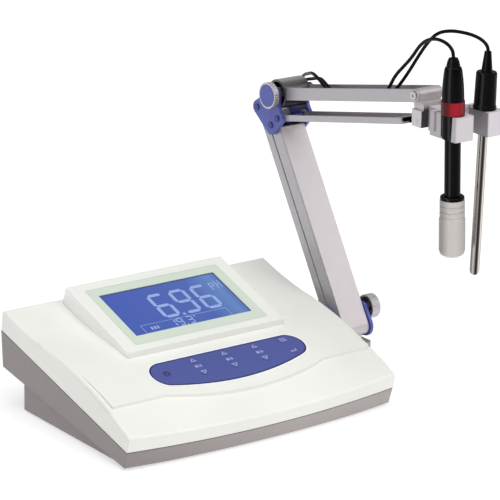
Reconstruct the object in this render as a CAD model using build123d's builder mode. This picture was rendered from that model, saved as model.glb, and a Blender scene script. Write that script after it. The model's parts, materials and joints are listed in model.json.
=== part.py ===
"""Bench pH meter with its electrode arm, all sizes in millimetres.

The frame stands at the middle of the meter's footprint on the desk: +X to the meter's right,
-Y towards the user, +Z up. The arm works in a vertical plane beside the meter's right side.
"""
from math import atan, cos, hypot, pi, radians, sin, tan
import os

from build123d import *

os.makedirs("parts", exist_ok=True)


def save(builder, name):
    """Label a finished piece and write its STEP file."""
    builder.part.label = name
    export_step(builder.part, f"parts/{name}.step")


# ---------------------------------------------------------------- driving dimensions: the meter
CASE_W = 290.0
CASE_D = 204.0
FRONT_Y = -CASE_D / 2
REAR_Y = CASE_D / 2
FOOT_H = 2.0
WALL = 2.5
SEAM_FRONT_Z = 18.6
SEAM_ANGLE = 14.28
SEAM_GAP = 0.7
RIM_R = 2.4
CREASE_ANGLE = 9.15
FRONT_BULGE = 9.5
BELLY_INSET = 5.4
BELLY_FRONT_Y = -82.0
BELLY_REAR_Y = 72.0

# the top deck's side view: a long convex arc, then a shallow concave one up to the rear edge
DECK_NOSE = (-118.0, 26.1)
DECK_MIDDLE = (-42.0, 58.0)
DECK_SWAY = (28.0, 73.2)
DECK_REAR = (98.5, 90.0)

# the raised panel that carries the keypad
PANEL_HALF_W = 139.5
PANEL_REAR_Y = -18.0
PANEL_FRONT_Y = -72.0
PANEL_BULGE_Y = -86.0

# the keypad film and its keys
PAD_BACK_Y = -30.6
PAD_FRONT_Y = -73.6
PAD_HALF_W = 82.0
FILM_T = 0.4
KEY_R = 4.2
KEY_GAP = 0.1
KEY_PROUD = 0.15
KEY_TRAVEL = 0.4
KEY_BODY = 1.2
KEY_COLUMNS = (-66.4, -32.2, 1.5, 34.8, 67.2)
KEY_ROWS = (-37.6, -55.8)

# the display housing: a wedge standing on the deck
HOUSING_HALF_W = 85.7
HOUSING_FRONT_Y = -14.6
HOUSING_REAR_Y = 92.0
HOUSING_TOP_FRONT_Z = 71.4
HOUSING_TOP_REAR = (86.5, 104.4)
GLASS_W = 145.0
GLASS_L = 87.5
GLASS_T = 2.0
GLASS_CENTRE_Y = 34.3
LCD_W = 126.6
LCD_L = 65.2
LCD_CENTRE_Y = 34.9
LCD_CENTRE_X = -0.8
LCD_DEPTH = 0.7
LCD_T = 2.8

# ---------------------------------------------------------------- driving dimensions: the arm
ARM_X = 169.0
LINK_HALF_W = 14.3
PLATE_IN = 15.0
PLATE_OUT = 18.2
LOWER_PIVOT = (-9.5, 44.4)
LOWER_LEAN = 31.8
LOWER_LENGTH = 205.0
REAR_OFFSET = (22.0, 13.0)
ELBOW_TO_KNOB = (-4.1, 30.6)
ELBOW_TO_BOTTOM = (-10.0, 8.6)
UPPER_TILT = 11.8
UPPER_LENGTH = 205.0
PIN_R = 2.5
PIN_FIT = 0.05
PIN_HEAD_R = 3.1
STUB_TIP = 11.0
BOLT_R = 4.0
KNURLS = 36
KNOB_REACH = 26.4
KNOB_L = 5.4
COVER_R = 8.0
COVER_T = 0.8
COVER_TOP = 199.6
GROOVE_B = 6.6
GROOVE_DEPTH = 1.0
LINK_END = 182.0
TONGUE_HALF_W = 5.0
HEAD_Y = -110.8
HEAD_D = 13.2
HEAD_FRONT_Y = HEAD_Y - HEAD_D / 2
LEAD_R = 1.6
LUG_X = 169.5
LUG_W = 16.4
LUG_Y = 34.6
LUG_LEADS_X = (165.0, 174.0)
PLUG_END_Y = 138.0

# ---------------------------------------------------------------- driving dimensions: the rods
ROD_Y = -151.5
SEAT_Z = 272.0
ELECTRODE_SEAT_R = 10.3
PROBE_SEAT_R = 4.8
ELECTRODE_X = 162.2
ELECTRODE_TILT = 2.2
PROBE_X = 197.5
PROBE_TILT = -1.48
ELECTRODE_TOP = 61.8
PROBE_TOP = 62.8
HOLDER_LOW = 261.0
HOLDER_H = 22.0
CLIP_LEFT = 154.7
CLIP_RIGHT = 210.6
CLIPS = ((CLIP_LEFT, CLIP_LEFT + 20.6), (CLIP_RIGHT - 19.2, CLIP_RIGHT))


def along_lower(a, b, start=LOWER_PIVOT):
    """(y, z) at a along the lower arm and b in front of its pivot line."""
    s, c = sin(radians(LOWER_LEAN)), cos(radians(LOWER_LEAN))
    return (start[0] + a * s - b * c, start[1] + a * c + b * s)


def along_upper(a, b, start):
    """(y, z) at a along the upper arm and b above its pivot line."""
    s, c = sin(radians(UPPER_TILT)), cos(radians(UPPER_TILT))
    return (start[0] - a * c + b * s, start[1] + a * s + b * c)


def shifted(point, offset):
    return (point[0] + offset[0], point[1] + offset[1])


ELBOW = along_lower(LOWER_LENGTH, 0)
REAR_PIVOT = shifted(LOWER_PIVOT, REAR_OFFSET)
REAR_TOP = shifted(ELBOW, REAR_OFFSET)
KNOB_PIVOT = shifted(ELBOW, ELBOW_TO_KNOB)
BOTTOM_PIVOT = shifted(ELBOW, ELBOW_TO_BOTTOM)
LOWER_KNOB = shifted(LOWER_PIVOT, (5.0, 15.7))
HEAD_TOP = along_upper(UPPER_LENGTH, 0, KNOB_PIVOT)
HEAD_BOTTOM = along_upper(UPPER_LENGTH, 0, BOTTOM_PIVOT)

# the side view of the lower arm: local x runs up the arm, local y out of its front face
LOWER_PLANE = Plane(
    origin=(ARM_X, *LOWER_PIVOT),
    x_dir=(0, sin(radians(LOWER_LEAN)), cos(radians(LOWER_LEAN))),
    z_dir=(1, 0, 0),
)


def upper_plane(pivot):
    """Side view of an upper link: local x runs forward along it, local y upwards."""
    return Plane(
        origin=(ARM_X, *pivot),
        x_dir=(0, -cos(radians(UPPER_TILT)), sin(radians(UPPER_TILT))),
        z_dir=(-1, 0, 0),
    )


def side_plane(pivot):
    """Side view with local x along +Y and local y along +Z, at the arm's middle."""
    return Plane(origin=(ARM_X, *pivot), x_dir=(0, 1, 0), z_dir=(1, 0, 0))


# ---------------------------------------------------------------- deck height
def circle_through(p, q, r):
    """Centre and radius of the circle through three points."""
    d = 2 * (p[0] * (q[1] - r[1]) + q[0] * (r[1] - p[1]) + r[0] * (p[1] - q[1]))
    pp, qq, rr = (v[0] ** 2 + v[1] ** 2 for v in (p, q, r))
    cx = (pp * (q[1] - r[1]) + qq * (r[1] - p[1]) + rr * (p[1] - q[1])) / d
    cy = (pp * (r[0] - q[0]) + qq * (p[0] - r[0]) + rr * (q[0] - p[0])) / d
    return (cx, cy), hypot(p[0] - cx, p[1] - cy)


DECK_CENTRE, DECK_R = circle_through(DECK_NOSE, DECK_MIDDLE, DECK_SWAY)


def deck_z(y):
    """Height of the deck's convex stretch."""
    return DECK_CENTRE[1] + (DECK_R**2 - (y - DECK_CENTRE[0]) ** 2) ** 0.5


def seam_z(y):
    return SEAM_FRONT_Z + (y - FRONT_Y) * tan(radians(SEAM_ANGLE))


def crease_z(y):
    return max(FOOT_H, FOOT_H + (y - FRONT_Y) * tan(radians(CREASE_ANGLE)))


PANEL_ARC = (
    (PANEL_REAR_Y, deck_z(PANEL_REAR_Y)),
    (-50.0, deck_z(-50.0) + 1.2),
    (-92.0, deck_z(-92.0) + 3.4),
)
PANEL_CENTRE, PANEL_R = circle_through(*PANEL_ARC)


def panel_z(y):
    """Height of the raised panel."""
    return PANEL_CENTRE[1] + (PANEL_R**2 - (y - PANEL_CENTRE[0]) ** 2) ** 0.5


# ---------------------------------------------------------------- casings
SEAM_PLANE = Plane(
    origin=(0, FRONT_Y, SEAM_FRONT_Z),
    x_dir=(1, 0, 0),
    z_dir=(0, -sin(radians(SEAM_ANGLE)), cos(radians(SEAM_ANGLE))),
)
SLOPE_D = CASE_D / cos(radians(SEAM_ANGLE))


def draw_case_outline(inset, rear=SLOPE_D + 25):
    """The meter's outline on its seam plane, with the bowed front."""
    half = CASE_W / 2 - inset
    ThreePointArc((-half, inset), (0, inset - FRONT_BULGE), (half, inset))
    Polyline((half, inset), (half, rear), (-half, rear), (-half, inset))


def upper_blank(inset):
    """The casing above the seam as one solid, or the space inside it for an inset."""
    nose, middle, sway = ((y, z - inset) for y, z in (DECK_NOSE, DECK_MIDDLE, DECK_SWAY))
    rear_top = (DECK_REAR[0] - inset, DECK_REAR[1] - inset)
    rear_low = (REAR_Y - inset, seam_z(REAR_Y) - 2)
    front_low = (DECK_NOSE[0], seam_z(DECK_NOSE[0]) - 2)
    with BuildPart() as blank:
        with BuildSketch(Plane.YZ.offset(-CASE_W / 2 - 1)):
            with BuildLine():
                front_arc = ThreePointArc(nose, middle, sway)
                TangentArc(sway, rear_top, tangent=front_arc % 1)
                Polyline(rear_top, rear_low, front_low, nose)
            make_face()
        extrude(amount=CASE_W + 2)
        with BuildSketch(SEAM_PLANE):
            with BuildLine():
                draw_case_outline(inset)
            make_face()
        extrude(amount=95, both=inset > 0, mode=Mode.INTERSECT)
        if inset == 0:
            deck = blank.faces().filter_by(lambda face: face.normal_at().Z > 0.8)
            rim = [edge for edge in deck.edges() if sum(edge in face.edges() for face in deck) == 1]
            fillet(rim, radius=RIM_R)
    return blank.part


def lower_blank(inset):
    """The casing below the seam as one solid, or the space inside it for an inset."""
    low = FOOT_H + inset
    top = 3 if inset else -SEAM_GAP
    belly_x = CASE_W / 2 - BELLY_INSET - inset
    belly_front = BELLY_FRONT_Y + inset
    belly_rear = BELLY_REAR_Y - inset
    with BuildPart() as blank:
        with BuildSketch(Plane.YZ.offset(-CASE_W / 2 - 1)):
            with BuildLine():
                Polyline(
                    (DECK_NOSE[0], seam_z(DECK_NOSE[0]) + top),
                    (REAR_Y - inset, seam_z(REAR_Y) + top),
                    (REAR_Y - inset, crease_z(REAR_Y) + inset),
                    (FRONT_Y, low),
                    (DECK_NOSE[0], low),
                    close=True,
                )
            make_face()
        extrude(amount=CASE_W + 2)
        with BuildSketch(SEAM_PLANE.offset(top)):
            with BuildLine():
                draw_case_outline(inset)
            make_face()
        extrude(amount=-80, taper=2.5, mode=Mode.INTERSECT)
        with BuildSketch(Plane.YZ.offset(-belly_x)):
            with BuildLine():
                Polyline(
                    (belly_front, low),
                    (belly_rear, low),
                    (belly_rear, crease_z(belly_rear) + inset + 1),
                    (belly_front, crease_z(belly_front) + inset + 1),
                    close=True,
                )
            make_face()
        extrude(amount=2 * belly_x)
    return blank.part


def seam_lip():
    """A narrow lip on the base's wall, set in from the seam, that the top cover rests on."""
    with BuildPart() as lip:
        for inset, mode in ((1.6, Mode.ADD), (WALL, Mode.SUBTRACT)):
            with BuildSketch(SEAM_PLANE.offset(-SEAM_GAP)):
                with BuildLine():
                    draw_case_outline(inset, (CASE_D - inset) / cos(radians(SEAM_ANGLE)))
                make_face()
            extrude(amount=SEAM_GAP, mode=mode)
    return lip.part


def panel_band(lift, depth):
    """A band across the whole casing under the raised panel's curved top."""
    rear, middle, front = ((y, z + lift) for y, z in PANEL_ARC)
    with BuildPart() as band:
        with BuildSketch(Plane.YZ.offset(-CASE_W / 2 - 1)):
            with BuildLine():
                ThreePointArc(rear, middle, front)
                Polyline(front, (front[0], front[1] - depth), (rear[0], rear[1] - depth), rear)
            make_face()
        extrude(amount=CASE_W + 2)
    return band.part


def raised_panel():
    """The keypad's raised panel, bowed out at the front and sunk into the deck."""
    with BuildPart() as panel:
        add(panel_band(0, 4.2))
        with BuildSketch(Plane.XY):
            with BuildLine():
                Polyline(
                    (-84, PANEL_FRONT_Y),
                    (-PANEL_HALF_W, PANEL_FRONT_Y),
                    (-PANEL_HALF_W, PANEL_REAR_Y),
                    (PANEL_HALF_W, PANEL_REAR_Y),
                    (PANEL_HALF_W, PANEL_FRONT_Y),
                    (88, PANEL_FRONT_Y),
                )
                ThreePointArc((-84, PANEL_FRONT_Y), (2, PANEL_BULGE_Y), (88, PANEL_FRONT_Y))
            make_face()
        extrude(amount=100, mode=Mode.INTERSECT)
    return panel.part


def key_spots():
    """Name, x and y of each key on the keypad."""
    back, front = KEY_ROWS
    middle = (back + front) / 2
    spots = [("key_power", KEY_COLUMNS[0], middle - 0.5)]
    for number, x in enumerate(KEY_COLUMNS[1:4], start=1):
        spots.append((f"key_up_{number}", x, back))
        spots.append((f"key_down_{number}", x, front))
    spots.append(("key_function", KEY_COLUMNS[4], back))
    spots.append(("key_enter", KEY_COLUMNS[4], front + 0.8))
    return spots


def key_plane(x, y):
    """A plane on the film's upper face, its z axis along the surface's normal."""
    slope = -(y - PANEL_CENTRE[0]) / (PANEL_R**2 - (y - PANEL_CENTRE[0]) ** 2) ** 0.5
    tilt = atan(slope)
    lift = FILM_T / cos(tilt)
    return Plane(origin=(x, y, panel_z(y) + lift), x_dir=(1, 0, 0), z_dir=(0, -sin(tilt), cos(tilt)))


HOUSING_SLOPE = atan(
    (HOUSING_TOP_REAR[1] - HOUSING_TOP_FRONT_Z) / (HOUSING_TOP_REAR[0] - HOUSING_FRONT_Y)
)


def housing_plane(y):
    """A plane on the housing's sloping top, its local y running up the slope."""
    z = HOUSING_TOP_FRONT_Z + (y - HOUSING_FRONT_Y) * tan(HOUSING_SLOPE)
    return Plane(
        origin=(0, y, z),
        x_dir=(1, 0, 0),
        z_dir=(0, -sin(HOUSING_SLOPE), cos(HOUSING_SLOPE)),
    )


SCREW_SPOTS = [(x, y) for x in (-118, 118) for y in (-62, 54)]
FOOT_SPOTS = [(0, 0), *[(x, y) for x in (-126, 126) for y in (-70, 60)]]
BRACKET_SCREWS_Y = (-2.0, 24.0)
BRACKET_SCREW_Z = 35.0
SOCKET_Z = 52.0
BNC_X = 112.0
DIN_X = 84.0
POST_X = 58.0
INLET_X = -100.0

top_blank = upper_blank(0)
top_space = upper_blank(WALL)
keypad_panel = raised_panel()
base_blank = lower_blank(0)
base_space = lower_blank(WALL)
base_lip = seam_lip()
film_band = panel_band(FILM_T, FILM_T)

with BuildPart() as top_cover:
    add(top_blank)
    add(top_space, mode=Mode.SUBTRACT)
    add(keypad_panel)
    # the opening under the display housing
    with BuildSketch(Plane.XY.offset(60)):
        with Locations((LCD_CENTRE_X, LCD_CENTRE_Y)):
            Rectangle(132, 70)
    extrude(amount=40, mode=Mode.SUBTRACT)
    for _, key_x, key_y in key_spots():
        with BuildSketch(key_plane(key_x, key_y)):
            Circle(KEY_R + KEY_GAP)
        extrude(amount=-(KEY_BODY + KEY_TRAVEL + 0.1), mode=Mode.SUBTRACT)
save(top_cover, "top_cover")

with BuildPart() as base_casing:
    add(base_blank)
    add(base_space, mode=Mode.SUBTRACT)
    add(base_lip)
    # screw pillars, each drilled for its screw from below
    with BuildSketch(Plane.XY.offset(FOOT_H)):
        with Locations(*SCREW_SPOTS):
            Circle(5)
    extrude(amount=22)
    with BuildSketch(Plane.XY.offset(FOOT_H)):
        with Locations(*SCREW_SPOTS):
            Circle(3.6)
    extrude(amount=3, mode=Mode.SUBTRACT)
    with BuildSketch(Plane.XY.offset(FOOT_H)):
        with Locations(*SCREW_SPOTS):
            Circle(1.8)
    extrude(amount=22, mode=Mode.SUBTRACT)
    # holes through the side wall for the arm bracket's screws
    with BuildSketch(Plane.YZ.offset(CASE_W / 2 - 8)):
        with Locations(*[(y, BRACKET_SCREW_Z) for y in BRACKET_SCREWS_Y]):
            Circle(2.1)
    extrude(amount=10, mode=Mode.SUBTRACT)
    # rear panel: holes for the sockets and cooling slots
    with BuildSketch(Plane.XZ.offset(-REAR_Y - 1)):
        with Locations((BNC_X, SOCKET_Z)):
            Circle(5.1)
        with Locations((DIN_X, SOCKET_Z)):
            Circle(6.1)
        with Locations((POST_X, SOCKET_Z)):
            Circle(2.6)
        with Locations((INLET_X, SOCKET_Z)):
            Circle(4.1)
        with GridLocations(7, 1, 9, 1):
            with Locations((-20, SOCKET_Z)):
                SlotOverall(16, 2.2, rotation=90)
    extrude(amount=10, mode=Mode.SUBTRACT)
save(base_casing, "base_casing")

with BuildPart() as rubber_feet:
    with BuildSketch(Plane.XY):
        with Locations(*FOOT_SPOTS):
            Circle(7)
    extrude(amount=FOOT_H)
save(rubber_feet, "rubber_feet")

with BuildPart() as housing_screws:
    with BuildSketch(Plane.XY.offset(FOOT_H + 1)):
        with Locations(*SCREW_SPOTS):
            Circle(3.2)
    extrude(amount=2)
    with BuildSketch(Plane.XY.offset(FOOT_H + 3)):
        with Locations(*SCREW_SPOTS):
            Circle(1.5)
    extrude(amount=16)
    # the two screws that hold the arm's bracket to the casing's side
    with BuildSketch(Plane.YZ.offset(CASE_W / 2 + 2.6)):
        with Locations(*[(y, BRACKET_SCREW_Z) for y in BRACKET_SCREWS_Y]):
            Circle(4)
    extrude(amount=1.3)
    with BuildSketch(Plane.YZ.offset(CASE_W / 2 - 10)):
        with Locations(*[(y, BRACKET_SCREW_Z) for y in BRACKET_SCREWS_Y]):
            Circle(2)
    extrude(amount=12.6)
save(housing_screws, "housing_screws")

with BuildPart() as display_bezel:
    with BuildSketch(Plane.YZ.offset(-HOUSING_HALF_W)):
        with BuildLine():
            deck_arc = ThreePointArc(
                (HOUSING_FRONT_Y, deck_z(HOUSING_FRONT_Y)), (7.0, deck_z(7.0)), DECK_SWAY
            )
            TangentArc(DECK_SWAY, (HOUSING_REAR_Y, 88.2), tangent=deck_arc % 1)
            Polyline(
                (HOUSING_REAR_Y, 88.2),
                HOUSING_TOP_REAR,
                (HOUSING_FRONT_Y, HOUSING_TOP_FRONT_Z),
                (HOUSING_FRONT_Y, deck_z(HOUSING_FRONT_Y)),
            )
        make_face()
    extrude(amount=2 * HOUSING_HALF_W)
    top_rim = display_bezel.faces().filter_by(
        lambda face: face.normal_at().Z > 0.9
    ).sort_by(Axis.Z)[-1].edges()
    fillet(top_rim, radius=1.2)
    with BuildSketch(housing_plane(GLASS_CENTRE_Y)):
        RectangleRounded(GLASS_W, GLASS_L, 1.5)
    extrude(amount=-GLASS_T, mode=Mode.SUBTRACT)
    with BuildSketch(housing_plane(LCD_CENTRE_Y).offset(-GLASS_T)):
        with Locations((LCD_CENTRE_X, 0)):
            Rectangle(LCD_W + 2, LCD_L + 2)
    extrude(amount=-30, mode=Mode.SUBTRACT)
save(display_bezel, "display_bezel")

with BuildPart() as display_window:
    with BuildSketch(housing_plane(GLASS_CENTRE_Y).offset(-GLASS_T)):
        RectangleRounded(GLASS_W - 0.3, GLASS_L - 0.3, 1.4)
        with Locations((LCD_CENTRE_X, (LCD_CENTRE_Y - GLASS_CENTRE_Y) / cos(HOUSING_SLOPE))):
            Rectangle(LCD_W, LCD_L, mode=Mode.SUBTRACT)
    extrude(amount=GLASS_T)
save(display_window, "display_window")

with BuildPart() as lcd_panel:
    with BuildSketch(housing_plane(LCD_CENTRE_Y).offset(-LCD_DEPTH)):
        with Locations((LCD_CENTRE_X, 0)):
            Rectangle(LCD_W - 0.3, LCD_L - 0.3)
    extrude(amount=-LCD_T)
save(lcd_panel, "lcd_panel")

with BuildPart() as keypad_overlay:
    add(film_band)
    add(keypad_panel, mode=Mode.SUBTRACT)
    with BuildSketch(Plane.XY):
        with BuildLine():
            back_left = (-PAD_HALF_W + 16, PAD_BACK_Y)
            back_right = (PAD_HALF_W - 10, PAD_BACK_Y)
            front_left = (-PAD_HALF_W + 8, PAD_FRONT_Y + 11)
            front_right = (PAD_HALF_W - 10, PAD_FRONT_Y + 12)
            Line(back_left, back_right)
            ThreePointArc(back_right, (PAD_HALF_W + 1.5, PAD_BACK_Y - 13), front_right)
            ThreePointArc(front_right, (-4, PAD_FRONT_Y), front_left)
            ThreePointArc(front_left, (-PAD_HALF_W, PAD_BACK_Y - 19), back_left)
        make_face()
    extrude(amount=100, mode=Mode.INTERSECT)
    for _, key_x, key_y in key_spots():
        with BuildSketch(key_plane(key_x, key_y).offset(2)):
            Circle(KEY_R + KEY_GAP)
        extrude(amount=-5, mode=Mode.SUBTRACT)
save(keypad_overlay, "keypad_overlay")

for key_name, key_x, key_y in key_spots():
    with BuildPart() as key:
        with BuildSketch(key_plane(key_x, key_y).offset(KEY_PROUD)):
            Circle(KEY_R)
        extrude(amount=-(KEY_BODY + KEY_PROUD))
    save(key, key_name)
    key_normal = key_plane(key_x, key_y).z_dir
    print(key_name, "press axis", round(-key_normal.Y, 4), round(-key_normal.Z, 4))

with BuildPart() as main_board:
    with BuildSketch(Plane.XY.offset(13)):
        Rectangle(210, 100)
    extrude(amount=1.6)
    with BuildSketch(Plane.XY.offset(14.6)):
        with Locations((-60, 10)):
            Rectangle(34, 28)
        with GridLocations(26, 34, 3, 2):
            Rectangle(14, 10)
    extrude(amount=4)
    with BuildSketch(Plane.XY.offset(FOOT_H + WALL)):
        with GridLocations(190, 80, 2, 2):
            Circle(3)
    extrude(amount=13 - FOOT_H - WALL)
save(main_board, "main_board")

# sockets run from behind the rear wall to their outer faces; XZ planes face -Y
with BuildPart() as rear_sockets:
    with BuildSketch(Plane.XZ.offset(-REAR_Y - 0.1)):
        with Locations((BNC_X, SOCKET_Z)):
            Circle(7.2)
        with Locations((DIN_X, SOCKET_Z)):
            Circle(7.6)
        with Locations((POST_X, SOCKET_Z)):
            Circle(4.6)
        with Locations((INLET_X, SOCKET_Z)):
            Circle(5.6)
    extrude(amount=-1.8)
    with BuildSketch(Plane.XZ.offset(-REAR_Y - 1.9)):
        with Locations((BNC_X, SOCKET_Z)):
            Circle(4.8)
        with Locations((POST_X, SOCKET_Z)):
            Circle(4.2)
    extrude(amount=-8)
    with BuildSketch(Plane.XZ.offset(-REAR_Y + 12)):
        with Locations((BNC_X, SOCKET_Z)):
            Circle(5)
        with Locations((DIN_X, SOCKET_Z)):
            Circle(6)
        with Locations((POST_X, SOCKET_Z)):
            Circle(2.5)
        with Locations((INLET_X, SOCKET_Z)):
            Circle(4)
    extrude(amount=-12.1)
    # the inlet's barrel and the temperature jack's contact well
    with BuildSketch(Plane.XZ.offset(-REAR_Y - 1.9)):
        with Locations((INLET_X, SOCKET_Z)):
            Circle(2.8)
            Circle(1.0, mode=Mode.SUBTRACT)
    extrude(amount=9, mode=Mode.SUBTRACT)
save(rear_sockets, "rear_sockets")

# ---------------------------------------------------------------- arm: bracket and swivel
BRACKET_TOP = 27.3
BRACKET_LOW = 15.3
BRACKET_FRONT_Y = -12.0
BRACKET_REAR_Y = 31.0
BRACKET_OUT_X = 192.5
SWIVEL_Y = 11.0
POST_R = 6.0
BLOCK_TOP = 35.9

with BuildPart() as base_bracket:
    with BuildSketch(Plane.XY.offset(BRACKET_LOW)):
        with BuildLine():
            Polyline(
                (CASE_W / 2 + 0.1, BRACKET_REAR_Y),
                (CASE_W / 2 + 0.1, BRACKET_FRONT_Y),
                (BRACKET_OUT_X, BRACKET_FRONT_Y),
                (BRACKET_OUT_X, BRACKET_REAR_Y),
                close=True,
            )
        make_face()
    extrude(amount=BRACKET_TOP - BRACKET_LOW)
    outer_corners = base_bracket.edges().filter_by(Axis.Z).group_by(Axis.X)[-1]
    fillet(outer_corners, radius=4)
    with BuildSketch(Plane.YZ.offset(CASE_W / 2 + 0.1)):
        with Locations(((BRACKET_FRONT_Y + BRACKET_REAR_Y) / 2, 33)):
            Rectangle(BRACKET_REAR_Y - BRACKET_FRONT_Y, 20)
    extrude(amount=2.5)
    with BuildSketch(Plane.YZ.offset(CASE_W / 2)):
        with Locations(*[(y, BRACKET_SCREW_Z) for y in BRACKET_SCREWS_Y]):
            Circle(2.1)
    extrude(amount=4, mode=Mode.SUBTRACT)
    with BuildSketch(Plane.XY.offset(BRACKET_LOW)):
        with Locations((ARM_X, SWIVEL_Y)):
            Circle(POST_R + PIN_FIT)
    extrude(amount=BRACKET_TOP, mode=Mode.SUBTRACT)
save(base_bracket, "base_bracket")

with BuildPart() as swivel_head:
    with BuildSketch(Plane.XY.offset(BRACKET_TOP + 0.2)):
        with Locations((ARM_X, SWIVEL_Y)):
            Circle(17)
    extrude(amount=3.5)
    with BuildSketch(Plane.XY.offset(BRACKET_TOP + 3.7)):
        with Locations((ARM_X, 8)):
            Rectangle(2 * PLATE_IN, 28)
    extrude(amount=BLOCK_TOP - BRACKET_TOP - 3.7)
    with BuildSketch(Plane.XY.offset(BRACKET_LOW - 0.2)):
        with Locations((ARM_X, SWIVEL_Y)):
            Circle(POST_R)
    extrude(amount=BRACKET_TOP - BRACKET_LOW + 0.6)
    with BuildSketch(Plane.XY.offset(BRACKET_LOW - 0.2)):
        with Locations((ARM_X, SWIVEL_Y)):
            Circle(POST_R + 2)
    extrude(amount=-2)
    # a lug behind the disc, drilled to hold the two leads
    with BuildSketch(Plane.XY.offset(BRACKET_TOP + 3.7)):
        with Locations((LUG_X, (22 + LUG_Y + 4) / 2)):
            Rectangle(LUG_W, LUG_Y + 4 - 22)
    extrude(amount=BLOCK_TOP - BRACKET_TOP - 3.7)
    with BuildSketch(Plane.XY.offset(BRACKET_TOP + 3.6)):
        with Locations(*[(x, LUG_Y) for x in LUG_LEADS_X]):
            Circle(LEAD_R + 0.8)
    extrude(amount=BLOCK_TOP - BRACKET_TOP, mode=Mode.SUBTRACT)
save(swivel_head, "swivel_head")


def pair_of_plates(left_spots, right_spots, holes, waists=()):
    """Two side plates around (y, z, radius) spots, drilled at each hole and cut in at each waist."""
    with BuildPart() as plates:
        for side, spots in ((-1, left_spots), (1, right_spots)):
            inner = Plane.YZ.offset(ARM_X + side * PLATE_IN)
            with BuildSketch(inner):
                for y, z, radius in spots:
                    with Locations((y, z)):
                        Circle(radius)
                make_hull()
            extrude(amount=side * (PLATE_OUT - PLATE_IN))
        with BuildSketch(Plane.YZ.offset(ARM_X - PLATE_OUT - 1)):
            for y, z, radius in [*[(y, z, radius + PIN_FIT) for y, z, radius in holes], *waists]:
                with Locations((y, z)):
                    Circle(radius)
        extrude(amount=2 * PLATE_OUT + 2, mode=Mode.SUBTRACT)
    return plates.part


LOWER_SPOTS = [
    (*LOWER_PIVOT, 10.2),
    (*REAR_PIVOT, 6.3),
    (*shifted(LOWER_PIVOT, (14, -7)), 6),
]
ELBOW_SPOTS = [(*ELBOW, 9.2), (*REAR_TOP, 6.5), (*KNOB_PIVOT, 6.4), (*BOTTOM_PIVOT, 7.4)]
lower_plate_pair = pair_of_plates(
    LOWER_SPOTS,
    [*LOWER_SPOTS, (*LOWER_KNOB, 5.6)],
    [(*LOWER_PIVOT, PIN_R), (*REAR_PIVOT, PIN_R), (*LOWER_KNOB, 3)],
)
elbow_plate_pair = pair_of_plates(
    ELBOW_SPOTS,
    ELBOW_SPOTS,
    [(*ELBOW, PIN_R), (*REAR_TOP, PIN_R), (*KNOB_PIVOT, BOLT_R), (*BOTTOM_PIVOT, PIN_R)],
    waists=[(*shifted(KNOB_PIVOT, (-22, -6)), 15)],
)

with BuildPart() as lower_plates:
    add(lower_plate_pair)
    corner_rims = lower_plates.edges().filter_by(GeomType.CIRCLE).filter_by(
        lambda edge: abs(edge.radius - 10.2) < 0.01
    )
    fillet(corner_rims, radius=0.5)
save(lower_plates, "lower_plates")

with BuildPart() as elbow_plates:
    add(elbow_plate_pair)
save(elbow_plates, "elbow_plates")


def pins_at(pivots, stub_pivots):
    """Headed pins right through at some pivots, and short ones from each side at others."""
    reaches = [(pivot, 0) for pivot in pivots] + [(pivot, STUB_TIP) for pivot in stub_pivots]
    with BuildPart() as pins:
        for side in (-1, 1):
            head_plane = Plane.YZ.offset(ARM_X + side * (PLATE_OUT + 0.05))
            for pivot, tip in reaches:
                with BuildSketch(head_plane):
                    with Locations(pivot):
                        Circle(PIN_HEAD_R)
                extrude(amount=side * 1.0)
                with BuildSketch(head_plane):
                    with Locations(pivot):
                        Circle(PIN_R)
                extrude(amount=-side * (PLATE_OUT + 0.05 - tip))
    return pins.part


lower_pin_set = pins_at([LOWER_PIVOT], [REAR_PIVOT])
elbow_pin_set = pins_at([ELBOW, BOTTOM_PIVOT], [REAR_TOP])

with BuildPart() as lower_pins:
    add(lower_pin_set)
    # the stud that carries the lower knob, in the right-hand plate
    with BuildSketch(Plane.YZ.offset(ARM_X + PLATE_IN)):
        with Locations(LOWER_KNOB):
            Circle(3)
    extrude(amount=13)
save(lower_pins, "lower_pins")

with BuildPart() as elbow_pins:
    add(elbow_pin_set)
    # the long bolt through the top link's barrel, with its nut on the right
    with BuildSketch(Plane.YZ.offset(ARM_X - 24)):
        with Locations(KNOB_PIVOT):
            Circle(BOLT_R)
    extrude(amount=24 + 29)
    with BuildSketch(Plane.YZ.offset(ARM_X + PLATE_OUT + 0.05)):
        with Locations(KNOB_PIVOT):
            Circle(6.5)
    extrude(amount=6.5)
save(elbow_pins, "elbow_pins")


def knurled_knob(x, pivot, radius, length, bore):
    """A round knob on an axis along X, with a notched rim and a bore."""
    with BuildPart() as knob:
        with BuildSketch(Plane.YZ.offset(x)):
            with Locations(pivot):
                Circle(radius)
                with PolarLocations(radius + 0.25, KNURLS):
                    Circle(0.7, mode=Mode.SUBTRACT)
                Circle(bore, mode=Mode.SUBTRACT)
        extrude(amount=length)
    return knob.part


knob_ring = knurled_knob(ARM_X - KNOB_REACH, KNOB_PIVOT, 12.5, KNOB_L, BOLT_R + PIN_FIT)
lower_knob_ring = knurled_knob(ARM_X + 19.9, LOWER_KNOB, 11.6, 9, 3 + PIN_FIT)

with BuildPart() as elbow_knob:
    add(knob_ring)
save(elbow_knob, "elbow_knob")

with BuildPart() as elbow_knob_cap:
    with BuildSketch(Plane.YZ.offset(ARM_X - KNOB_REACH)):
        with Locations(KNOB_PIVOT):
            Circle(10.7)
    extrude(amount=-0.6)
    fillet(elbow_knob_cap.faces().sort_by(Axis.X)[0].edges(), radius=0.4)
save(elbow_knob_cap, "elbow_knob_cap")

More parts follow.
